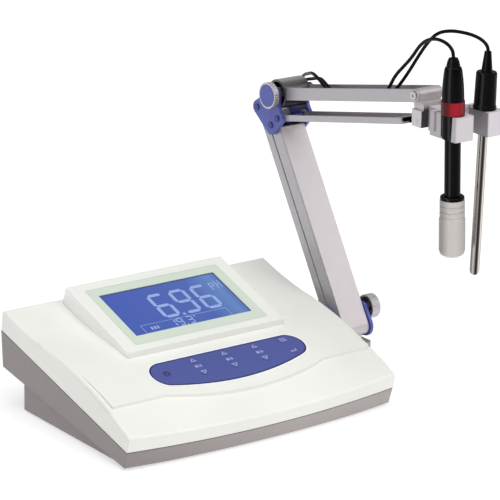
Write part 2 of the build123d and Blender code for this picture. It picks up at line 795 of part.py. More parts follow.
with BuildPart() as lower_knob:
    add(lower_knob_ring)
    with BuildSketch(Plane.YZ.offset(ARM_X + 19.9)):
        with Locations(LOWER_KNOB):
            Circle(9.6)
            Circle(4.4, mode=Mode.SUBTRACT)
    extrude(amount=6, mode=Mode.SUBTRACT)
save(lower_knob, "lower_knob")

# ---------------------------------------------------------------- arm: lower links
LINK_X = LOWER_PLANE.offset(-LINK_HALF_W)
INNER_HALF_W = LINK_HALF_W - 2
FRONT_BACK_B = -6.4
REAR_FRONT_B = -8.2
REAR_BACK_B = -17.3
REAR_MIDDLE_B = (REAR_FRONT_B + REAR_BACK_B) / 2
REAR_A = 22.6
REAR_B = -11.85

with BuildPart() as front_link:
    with BuildSketch(LINK_X):
        with Locations((LOWER_LENGTH / 2, (GROOVE_B + FRONT_BACK_B) / 2)):
            Rectangle(LOWER_LENGTH - 8, GROOVE_B - FRONT_BACK_B)
        with Locations((0, 0), (LOWER_LENGTH, 0)):
            Circle(5.6)
    extrude(amount=2 * LINK_HALF_W)
    with BuildSketch(LOWER_PLANE.offset(-INNER_HALF_W)):
        with Locations((LOWER_LENGTH / 2, 2)):
            Rectangle(LOWER_LENGTH + 20, 14)
        with Locations((2, -4), (LOWER_LENGTH - 2, -4)):
            Rectangle(24, 12)
    extrude(amount=2 * INNER_HALF_W, mode=Mode.SUBTRACT)
    with BuildSketch(LINK_X):
        with Locations((0, 0), (LOWER_LENGTH, 0)):
            Circle(PIN_R + PIN_FIT)
    extrude(amount=2 * LINK_HALF_W, mode=Mode.SUBTRACT)
save(front_link, "front_link")

with BuildPart() as front_link_cover:
    with BuildSketch(LINK_X):
        with BuildLine():
            Line((0, COVER_R), (COVER_TOP, COVER_R))
            Line((COVER_TOP, COVER_R), (COVER_TOP, COVER_R - COVER_T))
            Line((COVER_TOP, COVER_R - COVER_T), (0, COVER_R - COVER_T))
            ThreePointArc(
                (0, COVER_R - COVER_T), (-COVER_R + COVER_T, 0), (0, -COVER_R + COVER_T)
            )
            Line((0, -COVER_R + COVER_T), (0, -COVER_R))
            ThreePointArc((0, -COVER_R), (-COVER_R, 0), (0, COVER_R))
        make_face()
    extrude(amount=2 * LINK_HALF_W)
    # a narrower strip behind it leaves a groove along each edge of the front link
    with BuildSketch(LOWER_PLANE.offset(GROOVE_DEPTH - LINK_HALF_W)):
        with Locations((COVER_TOP / 2, (GROOVE_B + COVER_R - COVER_T) / 2)):
            Rectangle(COVER_TOP, COVER_R - COVER_T - GROOVE_B)
    extrude(amount=2 * (LINK_HALF_W - GROOVE_DEPTH))
save(front_link_cover, "front_link_cover")

with BuildPart() as rear_link:
    with BuildSketch(LINK_X):
        with Locations((REAR_A, REAR_MIDDLE_B), (REAR_A + LOWER_LENGTH, REAR_MIDDLE_B)):
            Circle((REAR_FRONT_B - REAR_BACK_B) / 2)
        with Locations((REAR_A + LOWER_LENGTH / 2, REAR_MIDDLE_B)):
            Rectangle(LOWER_LENGTH, REAR_FRONT_B - REAR_BACK_B)
    extrude(amount=2 * LINK_HALF_W)
    with BuildSketch(LOWER_PLANE.offset(-INNER_HALF_W)):
        with Locations((REAR_A + LOWER_LENGTH / 2, -14)):
            Rectangle(LOWER_LENGTH + 12, 8)
        with Locations((REAR_A, -10), (REAR_A + LOWER_LENGTH, -10)):
            Rectangle(14, 16)
    extrude(amount=2 * INNER_HALF_W, mode=Mode.SUBTRACT)
    with BuildSketch(LINK_X):
        with Locations((REAR_A, REAR_B), (REAR_A + LOWER_LENGTH, REAR_B)):
            Circle(PIN_R + PIN_FIT)
    extrude(amount=2 * LINK_HALF_W, mode=Mode.SUBTRACT)
save(rear_link, "rear_link")

# ---------------------------------------------------------------- arm: upper links and head
TOP_PLANE = upper_plane(KNOB_PIVOT)
BOTTOM_PLANE = upper_plane(BOTTOM_PIVOT)
TOP_HALF_H = 5.8
BOTTOM_HALF_H = 2.9

with BuildPart() as top_link:
    with BuildSketch(TOP_PLANE.offset(-LINK_HALF_W)):
        with Locations((UPPER_LENGTH / 2, 0)):
            Rectangle(UPPER_LENGTH, 2 * TOP_HALF_H)
        with Locations((UPPER_LENGTH, 0)):
            Circle(TOP_HALF_H)
    extrude(amount=2 * LINK_HALF_W)
    with BuildSketch(TOP_PLANE.offset(-INNER_HALF_W)):
        with Locations((UPPER_LENGTH / 2 + 10, 2)):
            Rectangle(UPPER_LENGTH + 20, 2 * TOP_HALF_H)
        with Locations((UPPER_LENGTH, 0)):
            Rectangle(26, 20)
    extrude(amount=2 * INNER_HALF_W, mode=Mode.SUBTRACT)
    with BuildSketch(TOP_PLANE.offset(-LINK_HALF_W)):
        Circle(14)
    extrude(amount=2 * LINK_HALF_W)
    with BuildSketch(TOP_PLANE.offset(-LINK_HALF_W - 1)):
        Circle(BOLT_R + PIN_FIT)
        with Locations((UPPER_LENGTH, 0)):
            Circle(PIN_R + PIN_FIT)
    extrude(amount=2 * LINK_HALF_W + 2, mode=Mode.SUBTRACT)
    # hollow ends of the barrel, around its hub
    for barrel_end, depth in ((TOP_PLANE.offset(-LINK_HALF_W), 10), (TOP_PLANE.offset(LINK_HALF_W), -10)):
        with BuildSketch(barrel_end):
            Circle(11.8)
            Circle(6.4, mode=Mode.SUBTRACT)
        extrude(amount=depth, mode=Mode.SUBTRACT)
save(top_link, "top_link")

with BuildPart() as bottom_link:
    with BuildSketch(BOTTOM_PLANE.offset(-LINK_HALF_W)):
        with Locations((LINK_END / 2, 0)):
            Rectangle(LINK_END, 2 * BOTTOM_HALF_H)
        Circle(5)
    extrude(amount=2 * LINK_HALF_W)
    with BuildSketch(BOTTOM_PLANE.offset(-INNER_HALF_W)):
        with Locations((LINK_END / 2, 2)):
            Rectangle(LINK_END + 40, 2 * BOTTOM_HALF_H)
        Rectangle(18, 16)
    extrude(amount=2 * INNER_HALF_W, mode=Mode.SUBTRACT)
    with BuildSketch(BOTTOM_PLANE.offset(-LINK_HALF_W)):
        Circle(PIN_R + PIN_FIT)
    extrude(amount=2 * LINK_HALF_W, mode=Mode.SUBTRACT)
save(bottom_link, "bottom_link")

with BuildPart() as link_plug:
    with BuildSketch(BOTTOM_PLANE.offset(-INNER_HALF_W + 0.1)):
        with Locations((LINK_END - 6, 1)):
            Rectangle(16, 3.6)
    extrude(amount=2 * INNER_HALF_W - 0.2)
    with BuildSketch(BOTTOM_PLANE.offset(-TONGUE_HALF_W)):
        with Locations(((LINK_END + UPPER_LENGTH) / 2, 0)):
            Rectangle(UPPER_LENGTH - LINK_END, 5.4)
        with Locations((UPPER_LENGTH, 0)):
            Circle(3.7)
    extrude(amount=2 * TONGUE_HALF_W)
    with BuildSketch(BOTTOM_PLANE.offset(-TONGUE_HALF_W)):
        with Locations((UPPER_LENGTH, 0)):
            Circle(PIN_R - 0.5 + PIN_FIT)
    extrude(amount=2 * TONGUE_HALF_W, mode=Mode.SUBTRACT)
save(link_plug, "link_plug")

with BuildPart() as head_block:
    with BuildSketch(Plane.YZ.offset(ARM_X - LINK_HALF_W)):
        with Locations((HEAD_Y, 271.6)):
            Rectangle(HEAD_D, 15.2)
    extrude(amount=2 * LINK_HALF_W)
    with BuildSketch(Plane.YZ.offset(ARM_X - INNER_HALF_W + 0.3)):
        with Locations((HEAD_Y, 282)):
            Rectangle(HEAD_D, 8)
        with Locations((HEAD_TOP[0] - 1.2, 287)):
            Rectangle(9, 6)
        with Locations(HEAD_TOP):
            Circle(6)
    extrude(amount=2 * INNER_HALF_W - 0.6)
    # the slot that takes the bottom link's tongue
    with BuildSketch(Plane.YZ.offset(ARM_X - TONGUE_HALF_W - 0.4)):
        with Locations((HEAD_Y + 1.2, 271.5)):
            Rectangle(HEAD_D, 16)
    extrude(amount=2 * TONGUE_HALF_W + 0.8, mode=Mode.SUBTRACT)
    with BuildSketch(Plane.YZ.offset(ARM_X - LINK_HALF_W)):
        with Locations(HEAD_BOTTOM):
            Circle(PIN_R - 0.5 + PIN_FIT)
        with Locations(HEAD_TOP):
            Circle(PIN_R + PIN_FIT)
    extrude(amount=2 * LINK_HALF_W, mode=Mode.SUBTRACT)
save(head_block, "head_block")

with BuildPart() as head_pins:
    for pivot, radius in ((HEAD_TOP, PIN_R), (HEAD_BOTTOM, PIN_R - 0.5)):
        with BuildSketch(Plane.YZ.offset(ARM_X - LINK_HALF_W)):
            with Locations(pivot):
                Circle(radius)
        extrude(amount=2 * LINK_HALF_W)
    for side in (-1, 1):
        with BuildSketch(Plane.YZ.offset(ARM_X + side * LINK_HALF_W)):
            with Locations(HEAD_TOP):
                Circle(PIN_R)
        extrude(amount=side * 0.5)
        with BuildSketch(Plane.YZ.offset(ARM_X + side * (LINK_HALF_W + 0.05))):
            with Locations(HEAD_TOP):
                Circle(4)
                Circle(1.3, mode=Mode.SUBTRACT)
        extrude(amount=side * 1.4)
save(head_pins, "head_pins")

# ---------------------------------------------------------------- electrode, probe and their holder


def rod_side(x, tilt):
    """Side view of a rod in the holder: local x outwards, local y up its leaning axis."""
    return Plane(
        origin=(x, ROD_Y, SEAT_Z),
        x_dir=(cos(radians(tilt)), 0, sin(radians(tilt))),
        z_dir=(0, -1, 0),
    )


def rod_end(x, tilt):
    """A plane square to a rod's axis at the holder's mid height."""
    return Plane(
        origin=(x, ROD_Y, SEAT_Z),
        x_dir=(cos(radians(tilt)), 0, sin(radians(tilt))),
        z_dir=(-sin(radians(tilt)), 0, cos(radians(tilt))),
    )


def turned(side, outline):
    """A solid turned about a rod's axis from (radius, height) corners."""
    with BuildPart() as piece:
        with BuildSketch(side):
            with BuildLine():
                Polyline(*outline, close=True)
            make_face()
        revolve(axis=Axis(side.origin, side.y_dir))
    return piece.part


ELECTRODE_SIDE = rod_side(ELECTRODE_X, ELECTRODE_TILT)
PROBE_SIDE = rod_side(PROBE_X, PROBE_TILT)

with BuildPart() as electrode_holder:
    with BuildSketch(Plane.XY.offset(HOLDER_LOW)):
        with Locations(((CLIP_LEFT + CLIP_RIGHT) / 2, -133.75)):
            Rectangle(CLIP_RIGHT - CLIP_LEFT, 8.5)
        for left, right in CLIPS:
            with Locations(((left + right) / 2, -147)):
                Rectangle(right - left, 35)
        with Locations((ARM_X, (HEAD_FRONT_Y - 129.5) / 2)):
            Rectangle(12, HEAD_FRONT_Y + 129.5)
    extrude(amount=HOLDER_H)
    holder_corners = electrode_holder.edges().filter_by(Axis.Z).filter_by(
        lambda edge: edge.center().Y < -160
    )
    fillet(holder_corners, radius=1.5)
    for left, _ in CLIPS:
        with BuildSketch(Plane.XY.offset(HOLDER_LOW + 4.5)):
            with Locations((left + 4, -136.1)):
                Rectangle(8, 3.2)
        extrude(amount=HOLDER_H, mode=Mode.SUBTRACT)
    for seat_x, seat_tilt, seat_r in (
        (ELECTRODE_X, ELECTRODE_TILT, ELECTRODE_SEAT_R),
        (PROBE_X, PROBE_TILT, PROBE_SEAT_R),
    ):
        with BuildSketch(rod_end(seat_x, seat_tilt)):
            Circle(seat_r)
        extrude(amount=20, both=True, mode=Mode.SUBTRACT)
save(electrode_holder, "electrode_holder")

electrode_solids = {
    "electrode_cap": [
        (0, 23.8), (9.8, 23.8), (9.8, 28), (9.6, 34), (9.3, 39), (8.9, 43.5), (8.4, 48), (7.9, 51.4),
        (7.3, 53.4), (6.2, 54.4), (6.0, 56.4), (5.5, 56.7), (5.5, 57.3), (5.7, 57.6), (5.2, 59.4),
        (4.7, 59.7), (4.7, 60.3), (4.2, ELECTRODE_TOP), (0, ELECTRODE_TOP),
    ],
    "red_ring": [(0, 11.8), (10.5, 11.8), (10.5, 23.8), (0, 23.8)],
    "electrode_shaft": [(0, -96), (7.2, -96), (7.2, -10), (9.8, -10), (9.8, 11.8), (0, 11.8)],
    "bottle_seal": [
        (7.25, -66), (10.8, -66), (10.8, -63.6), (9.9, -62.8), (7.25, -62.8),
    ],
    "bottle_cap": [
        (7.7, -81.7), (10.9, -81.7), (11.2, -80.9), (11.2, -77.6), (10.6, -77.1), (10.6, -76.4),
        (11.2, -75.9), (11.2, -72.4), (10.6, -71.9), (10.6, -71.2), (11.2, -70.7), (11.2, -67),
        (10.9, -66), (7.7, -66),
    ],
    "storage_bottle": [
        (0, -118.5), (7.5, -118.5), (10.6, -116), (11.75, -112.6), (11.75, -83.6), (10.8, -81.7),
        (8.6, -81.7), (10.4, -84.5), (10.4, -112), (9.5, -114.7), (7, -116.6), (0, -116.6),
    ],
}
for piece_name, outline in electrode_solids.items():
    solid = turned(ELECTRODE_SIDE, outline)
    with BuildPart() as rod_piece:
        add(solid)
    save(rod_piece, piece_name)

with BuildPart() as glass_bulb:
    with BuildSketch(ELECTRODE_SIDE):
        with BuildLine():
            Polyline((0, -103), (0, -96), (5.2, -96), (5.2, -97.8))
            CenterArc((0, -97.8), 5.2, -90, 90)
        make_face()
    revolve(axis=Axis(ELECTRODE_SIDE.origin, ELECTRODE_SIDE.y_dir))
save(glass_bulb, "glass_bulb")

probe_solids = {
    "probe_handle": [
        (0, 11.5), (10.4, 11.5), (10.4, 14.5), (9.9, 15.2), (9.4, 43.5),
        (8.6, 44.9), (5.1, 44.9), (3.1, PROBE_TOP), (0, PROBE_TOP),
    ],
    "probe_rod": [
        (0, -141.2), (2.2, -140.8), (3.7, -139.5), (4.4, -137.2), (4.4, 11.5), (0, 11.5),
    ],
}
for piece_name, outline in probe_solids.items():
    solid = turned(PROBE_SIDE, outline)
    with BuildPart() as rod_piece:
        add(solid)
    save(rod_piece, piece_name)

# ---------------------------------------------------------------- leads
# Each route runs from the rod's top, over to the arm, down its channels and round to the rear
# sockets. It is cut halfway along a run wherever one moving body hands it to the next.


def rod_exit(x, tilt, height):
    """Where a lead leaves the top of a rod, a height up its axis."""
    return (x - height * sin(radians(tilt)), ROD_Y, SEAT_Z + height * cos(radians(tilt)))


ELECTRODE_EXIT = rod_exit(ELECTRODE_X, ELECTRODE_TILT, ELECTRODE_TOP)
PROBE_EXIT = rod_exit(PROBE_X, PROBE_TILT, PROBE_TOP)


def lower_point(x, a, b):
    """A route point beside the lower arm: x, then a up the arm and b in front of it."""
    return (x, *along_lower(a, b))


def desk_stretch(x, plug_x, reach):
    """Route points from the swivel's lug to the plug, along the desk and behind the meter."""
    return [
        (x, LUG_Y, 44),
        (x, LUG_Y + 0.4, 33),
        (x, LUG_Y + 0.8, 20),
        (x - 0.5, LUG_Y + 5.5, 8.5),
        (x - 3, LUG_Y + 18, 2.6),
        (x - 6.5, LUG_Y + 38, 1.9),
        (x - 8.5, LUG_Y + 62, 2.0),
        (x - 12, LUG_Y + 86, 1.9),
        (x - 18, LUG_Y + 108 + reach / 2, 2.1),
        (0.55 * x + 0.45 * plug_x, LUG_Y + 126 + reach, 4),
        (0.25 * x + 0.75 * plug_x, LUG_Y + 136 + reach, 15),
        (plug_x + 3, LUG_Y + 137 + reach, 31),
        (plug_x + 0.6, LUG_Y + 131 + reach / 2, 45),
        (plug_x, LUG_Y + 117, SOCKET_Z),
        (plug_x, PLUG_END_Y, SOCKET_Z),
    ]


electrode_route = [
    ELECTRODE_EXIT,
    (159.65, ROD_Y, 338.5),
    (159.9, -147.2, 342.7),
    (160.3, -139.5, 345.3),
    (161.0, -127.0, 345.9),
    (161.8, -113.5, 342.4),
    (162.4, -102.5, 334.9),
    (163.0, -91.5, 321.6),
    (163.7, -79.0, 310.3),
    (164.3, -67.5, 300.0),
    (164.9, -59.5, 288.0),
    (165.3, -52.0, 279.0),
    (165.6, -40.0, 275.7),
    (166.4, -22.0, 272.1),
    (165.2, -3.0, 267.6),
    (166.4, 16.0, 264.0),
    (168.8, 31.0, 262.2),
    (172.6, 44.0, 264.2),
    (176.0, 58.0, 268.0),
    (179.4, 69.5, 270.0),
    (184.0, 81.0, 268.8),
    (189.0, 92.0, 265.0),
    (193.8, 104.5, 261.0),
    (197.4, 115.0, 252.5),
    (198.6, 123.5, 240.0),
    (196.4, 128.5, 225.5),
    (191.5, 129.0, 211.5),
    lower_point(186, 198, -31.5),
    lower_point(178, 184, -29.5),
    lower_point(169.5, 168, -24.0),
    lower_point(165.6, 151, -16.5),
    lower_point(164.8, 133, -13.3),
    lower_point(166.0, 113, -13.7),
    lower_point(164.8, 93, -13.2),
    lower_point(165.6, 71, -13.7),
    lower_point(165.0, 52, -15.0),
    (165.2, 33.6, 69.5),
    (165.0, 35.0, 56.5),
    *desk_stretch(LUG_LEADS_X[0], BNC_X, 0),
]
probe_route = [
    PROBE_EXIT,
    (199.2, ROD_Y, 338.2),
    (198.2, -146.5, 343.0),
    (195.6, -137.5, 346.3),
    (191.6, -125.5, 347.6),
    (187.2, -112.5, 347.0),
    (183.6, -100.5, 343.0),
    (181.2, -91.0, 333.0),
    (178.6, -83.0, 320.5),
    (175.8, -74.5, 305.5),
    (173.4, -66.0, 292.5),
    (172.5, -57.5, 282.5),
    (172.2, -46.0, 277.2),
    (171.6, -31.0, 273.8),
    (172.6, -13.0, 269.7),
    (171.4, 6.0, 266.2),
    (173.4, 24.0, 262.4),
    (176.4, 39.0, 261.4),
    (179.8, 53.0, 264.9),
    (184.6, 65.5, 266.0),
    (189.0, 77.0, 263.8),
    (191.8, 89.0, 260.2),
    (192.8, 102.5, 256.5),
    (192.8, 111.5, 247.5),
    (192.6, 117.0, 236.5),
    (191.6, 120.0, 225.0),
    (189.0, 120.0, 213.5),
    lower_point(184, 202, -23.5),
    lower_point(178, 189, -20.0),
    lower_point(173.8, 173, -14.8),
    lower_point(172.8, 153, -13.3),
    lower_point(174.2, 131, -13.7),
    lower_point(172.8, 109, -13.2),
    lower_point(173.8, 87, -13.6),
    lower_point(173.0, 66, -14.0),
    lower_point(173.8, 49, -16.2),
    (173.6, 33.6, 68.0),
    (174.0, 35.0, 56.0),
    *desk_stretch(LUG_LEADS_X[1], DIN_X, 18),
]
STRETCHES = ("arc", "top", "elbow", "fore", "tail", "rear")
ELECTRODE_CUTS = (6, 13, 20, 30, 37)
PROBE_CUTS = (6, 13, 20, 30, 37)


def halfway(start, end):
    return tuple((p + q) / 2 for p, q in zip(start, end))


def cut_route(route, cuts):
    """The route's stretches, each ending halfway along the run after a cut's point."""
    joints = [halfway(route[i], route[i + 1]) for i in cuts]
    firsts = [0, *[i + 1 for i in cuts]]
    lasts = [*[i + 1 for i in cuts], len(route)]
    pieces = [list(route[first:last]) for first, last in zip(firsts, lasts)]
    for number, joint in enumerate(joints):
        pieces[number].append(joint)
        pieces[number + 1].insert(0, joint)
    return pieces


def bend_radii(points):
    """The largest arc that each corner's two runs leave room for."""
    radii = []
    for before, corner, after in zip(points, points[1:], points[2:]):
        run_in = Vector(*corner) - Vector(*before)
        run_out = Vector(*after) - Vector(*corner)
        half_turn = radians(run_in.get_angle(run_out)) / 2
        radii.append(0.45 * min(run_in.length, run_out.length) / tan(half_turn))
    return radii


def save_lead(prefix, route, cuts):
    """Write one lead's stretches, and print its bends, runs and length."""
    total = 0
    for stretch, points in zip(STRETCHES, cut_route(route, cuts)):
        radii = bend_radii(points)
        with BuildPart() as lead:
            with BuildLine() as path:
                FilletPolyline(*points, radius=radii)
            spine = path.wire()
            with BuildSketch(Plane(origin=spine @ 0, z_dir=spine % 0)):
                Circle(LEAD_R)
            sweep(path=spine)
        length = spine.length
        total += length
        exact = pi * LEAD_R**2 * length
        save(lead, f"{prefix}_{stretch}")
        runs = [(Vector(*q) - Vector(*p)).length for p, q in zip(points, points[1:])]
        print(
            f"{prefix}_{stretch} length {length:.1f} runs {min(runs):.1f}-{max(runs):.1f}",
            f"smallest radius {min(radii):.1f} volume ratio {lead.part.volume / exact:.4f}",
        )
    print(prefix, "total length", round(total, 1))


save_lead("electrode_lead", electrode_route, ELECTRODE_CUTS)
save_lead("probe_lead", probe_route, PROBE_CUTS)

with BuildPart() as electrode_plug:
    with BuildSketch(Plane.XZ.offset(-REAR_Y - 2.1)):
        with Locations((BNC_X, SOCKET_Z)):
            Circle(7.2)
    extrude(amount=-16)
    with BuildSketch(Plane.XZ.offset(-REAR_Y - 18.1)):
        with Locations((BNC_X, SOCKET_Z)):
            Circle(5.4)
    extrude(amount=-8)
    with BuildSketch(Plane.XZ.offset(-REAR_Y - 26.1)):
        with Locations((BNC_X, SOCKET_Z)):
            Circle(3.6)
    extrude(amount=-(PLUG_END_Y - REAR_Y - 26.1), taper=6)
    with BuildSketch(Plane.XZ.offset(-REAR_Y - 2)):
        with Locations((BNC_X, SOCKET_Z)):
            Circle(4.9)
    extrude(amount=-8.2, mode=Mode.SUBTRACT)
save(electrode_plug, "electrode_plug")

with BuildPart() as probe_plug:
    with BuildSketch(Plane.XZ.offset(-REAR_Y - 2.1)):
        with Locations((DIN_X, SOCKET_Z)):
            Circle(5.6)
    extrude(amount=-18)
    with BuildSketch(Plane.XZ.offset(-REAR_Y - 20.1)):
        with Locations((DIN_X, SOCKET_Z)):
            Circle(3.6)
    extrude(amount=-(PLUG_END_Y - REAR_Y - 20.1), taper=4)
save(probe_plug, "probe_plug")
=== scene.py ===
"""Looks for the bench pH meter: camera, leads, materials, display, keypad and small details."""

import json
from math import atan2, cos, hypot, pi, radians, sin, tan

import bpy
from mathutils import Matrix, Vector
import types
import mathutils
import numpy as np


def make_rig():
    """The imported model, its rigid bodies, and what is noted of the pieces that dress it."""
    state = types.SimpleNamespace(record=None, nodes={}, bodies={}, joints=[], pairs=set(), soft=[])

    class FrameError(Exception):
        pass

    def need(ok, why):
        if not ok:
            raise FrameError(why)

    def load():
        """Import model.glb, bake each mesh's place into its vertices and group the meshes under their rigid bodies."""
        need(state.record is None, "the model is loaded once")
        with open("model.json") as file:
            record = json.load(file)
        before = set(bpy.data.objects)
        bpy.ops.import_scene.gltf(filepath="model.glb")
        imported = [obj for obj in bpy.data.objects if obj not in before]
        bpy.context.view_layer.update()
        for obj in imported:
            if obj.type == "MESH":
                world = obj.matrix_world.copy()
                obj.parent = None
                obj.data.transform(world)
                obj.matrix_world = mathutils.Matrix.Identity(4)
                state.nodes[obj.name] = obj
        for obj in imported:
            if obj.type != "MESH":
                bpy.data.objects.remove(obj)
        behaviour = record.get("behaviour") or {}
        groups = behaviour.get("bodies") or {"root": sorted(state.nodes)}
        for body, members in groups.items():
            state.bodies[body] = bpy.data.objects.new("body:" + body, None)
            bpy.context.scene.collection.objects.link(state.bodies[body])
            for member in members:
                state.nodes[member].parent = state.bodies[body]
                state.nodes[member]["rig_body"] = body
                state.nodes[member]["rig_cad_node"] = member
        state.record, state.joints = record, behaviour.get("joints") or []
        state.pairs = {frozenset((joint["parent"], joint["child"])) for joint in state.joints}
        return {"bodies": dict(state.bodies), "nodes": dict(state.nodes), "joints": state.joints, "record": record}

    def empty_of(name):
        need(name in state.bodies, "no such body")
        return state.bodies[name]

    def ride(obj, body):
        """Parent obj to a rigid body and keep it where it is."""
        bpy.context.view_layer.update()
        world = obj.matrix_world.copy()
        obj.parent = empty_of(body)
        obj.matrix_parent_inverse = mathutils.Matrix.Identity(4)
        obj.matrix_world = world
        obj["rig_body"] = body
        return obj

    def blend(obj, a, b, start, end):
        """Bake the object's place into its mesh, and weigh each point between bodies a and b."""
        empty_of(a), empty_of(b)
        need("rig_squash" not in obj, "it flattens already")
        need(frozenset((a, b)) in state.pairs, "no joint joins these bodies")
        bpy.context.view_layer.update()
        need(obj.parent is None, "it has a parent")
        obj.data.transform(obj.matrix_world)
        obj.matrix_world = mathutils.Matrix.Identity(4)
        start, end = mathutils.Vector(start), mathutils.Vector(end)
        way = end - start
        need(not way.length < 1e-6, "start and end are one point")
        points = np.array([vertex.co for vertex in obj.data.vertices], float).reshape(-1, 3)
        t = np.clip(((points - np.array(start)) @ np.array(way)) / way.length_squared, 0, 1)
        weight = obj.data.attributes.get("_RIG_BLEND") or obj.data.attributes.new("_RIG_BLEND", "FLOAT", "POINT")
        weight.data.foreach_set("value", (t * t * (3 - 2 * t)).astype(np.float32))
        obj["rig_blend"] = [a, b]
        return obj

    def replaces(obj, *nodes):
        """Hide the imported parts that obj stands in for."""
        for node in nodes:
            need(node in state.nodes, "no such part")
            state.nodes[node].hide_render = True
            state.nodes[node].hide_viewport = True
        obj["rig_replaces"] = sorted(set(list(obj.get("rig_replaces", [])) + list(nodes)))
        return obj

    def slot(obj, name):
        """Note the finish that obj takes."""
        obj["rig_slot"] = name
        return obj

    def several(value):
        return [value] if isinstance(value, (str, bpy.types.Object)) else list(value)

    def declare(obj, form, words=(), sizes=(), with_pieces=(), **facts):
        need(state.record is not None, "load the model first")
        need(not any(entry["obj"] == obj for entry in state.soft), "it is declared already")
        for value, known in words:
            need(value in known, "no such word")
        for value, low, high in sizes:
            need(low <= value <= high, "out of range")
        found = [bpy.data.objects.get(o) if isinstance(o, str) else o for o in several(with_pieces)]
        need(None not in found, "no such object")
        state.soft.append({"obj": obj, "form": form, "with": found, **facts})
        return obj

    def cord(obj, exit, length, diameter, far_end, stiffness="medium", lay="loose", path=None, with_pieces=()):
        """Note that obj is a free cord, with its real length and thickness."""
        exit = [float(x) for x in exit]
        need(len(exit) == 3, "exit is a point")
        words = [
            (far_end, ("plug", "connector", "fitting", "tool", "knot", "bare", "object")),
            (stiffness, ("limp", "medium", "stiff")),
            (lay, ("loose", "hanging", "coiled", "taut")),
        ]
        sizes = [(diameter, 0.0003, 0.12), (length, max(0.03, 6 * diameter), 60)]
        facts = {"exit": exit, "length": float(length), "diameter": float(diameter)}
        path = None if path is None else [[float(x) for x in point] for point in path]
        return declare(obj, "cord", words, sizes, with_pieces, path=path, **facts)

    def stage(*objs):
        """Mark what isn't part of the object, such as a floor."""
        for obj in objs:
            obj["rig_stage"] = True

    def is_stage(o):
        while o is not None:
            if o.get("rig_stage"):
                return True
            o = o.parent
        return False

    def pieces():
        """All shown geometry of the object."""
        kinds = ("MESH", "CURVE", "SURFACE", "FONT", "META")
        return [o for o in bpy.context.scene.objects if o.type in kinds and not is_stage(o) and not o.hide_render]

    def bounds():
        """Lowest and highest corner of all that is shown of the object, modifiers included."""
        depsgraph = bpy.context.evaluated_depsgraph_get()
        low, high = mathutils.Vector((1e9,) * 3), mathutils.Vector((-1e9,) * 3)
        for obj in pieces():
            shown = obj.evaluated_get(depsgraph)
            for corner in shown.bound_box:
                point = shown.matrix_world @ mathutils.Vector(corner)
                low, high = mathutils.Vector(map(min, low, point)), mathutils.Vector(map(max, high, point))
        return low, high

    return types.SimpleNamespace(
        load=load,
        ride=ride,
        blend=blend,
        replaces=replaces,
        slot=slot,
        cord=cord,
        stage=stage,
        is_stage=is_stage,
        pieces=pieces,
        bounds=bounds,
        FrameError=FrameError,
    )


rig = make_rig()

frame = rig.load()
CAD_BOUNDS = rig.bounds()
NODES = frame["nodes"]
MM = 0.001


def mm(*values):
    """A point in metres from millimetres."""
    return Vector(values) * MM


# ---------------------------------------------------------------- camera
CAMERA_TARGET = mm(52.2, -5.9, 140.0)
CAMERA_DISTANCE = 2.5403
CAMERA_AZIMUTH = radians(-36.34)
CAMERA_ELEVATION = radians(17.55)
CAMERA_ROLL = radians(0.94)
CAMERA_LENS = 202.6


def make_camera():
    """The camera, aimed by azimuth, elevation and a slight roll."""
    back = Vector((
        sin(CAMERA_AZIMUTH) * cos(CAMERA_ELEVATION),
        -cos(CAMERA_AZIMUTH) * cos(CAMERA_ELEVATION),
        sin(CAMERA_ELEVATION),
    ))
    level = Vector((cos(CAMERA_AZIMUTH), sin(CAMERA_AZIMUTH), 0))
    rise = back.cross(level)
    right = level * cos(CAMERA_ROLL) + rise * sin(CAMERA_ROLL)
    up = back.cross(right)
    data = bpy.data.cameras.new("camera")
    data.lens = CAMERA_LENS
    data.sensor_width = 36
    data.clip_end = 20
    camera = bpy.data.objects.new("camera", data)
    bpy.context.scene.collection.objects.link(camera)
    turn = Matrix((right, up, back)).transposed()
    camera.matrix_world = Matrix.Translation(CAMERA_TARGET + back * CAMERA_DISTANCE) @ turn.to_4x4()
    bpy.context.scene.camera = camera


make_camera()

# ---------------------------------------------------------------- sizes shared with the CAD model
LOWER_PIVOT = (-9.5, 44.4)
LOWER_LEAN = radians(31.8)
LEAD_R = 1.6
LUG_Y = 34.6
LUG_LEADS_X = (165.0, 174.0)
PLUG_END_Y = 138.0
SOCKET_Z = 52.0
BNC_X = 112.0
DIN_X = 84.0
ROD_Y = -151.5
SEAT_Z = 272.0
ELECTRODE_X = 162.2
ELECTRODE_TILT = radians(2.2)
PROBE_X = 197.5
PROBE_TILT = radians(-1.48)
ELECTRODE_TOP = 61.8
PROBE_TOP = 62.8


def along_lower(a, b):
    """(y, z) at a along the lower arm and b in front of its pivot line."""
    s, c = sin(LOWER_LEAN), cos(LOWER_LEAN)
    return (LOWER_PIVOT[0] + a * s - b * c, LOWER_PIVOT[1] + a * c + b * s)


# ---------------------------------------------------------------- material building blocks
LEFT = (-1, 0, 0)
RIGHT = (1, 0, 0)
FRONT = (0, -1, 0)
BACK = (0, 1, 0)
UP = (0, 0, 1)
DOWN = (0, 0, -1)
# from the left edge of the upright rods to their right edge, the way their painted highlights and shade run
ACROSS_RODS = (0.80, -0.59, 0)
# noise drawn out into lines along one axis
ALONG_X = (0.02, 1, 1)
ALONG_Z = (1, 1, 0.02)
# cells per metre and depth in metres of a moulded grain, cells of its drift in gloss
GRAIN_CELLS = 2600
GRAIN_DEPTH = 0.00006
GLOSS_CELLS = 60
# fine lines in metal, in cells per metre
LINE_CELLS = 900


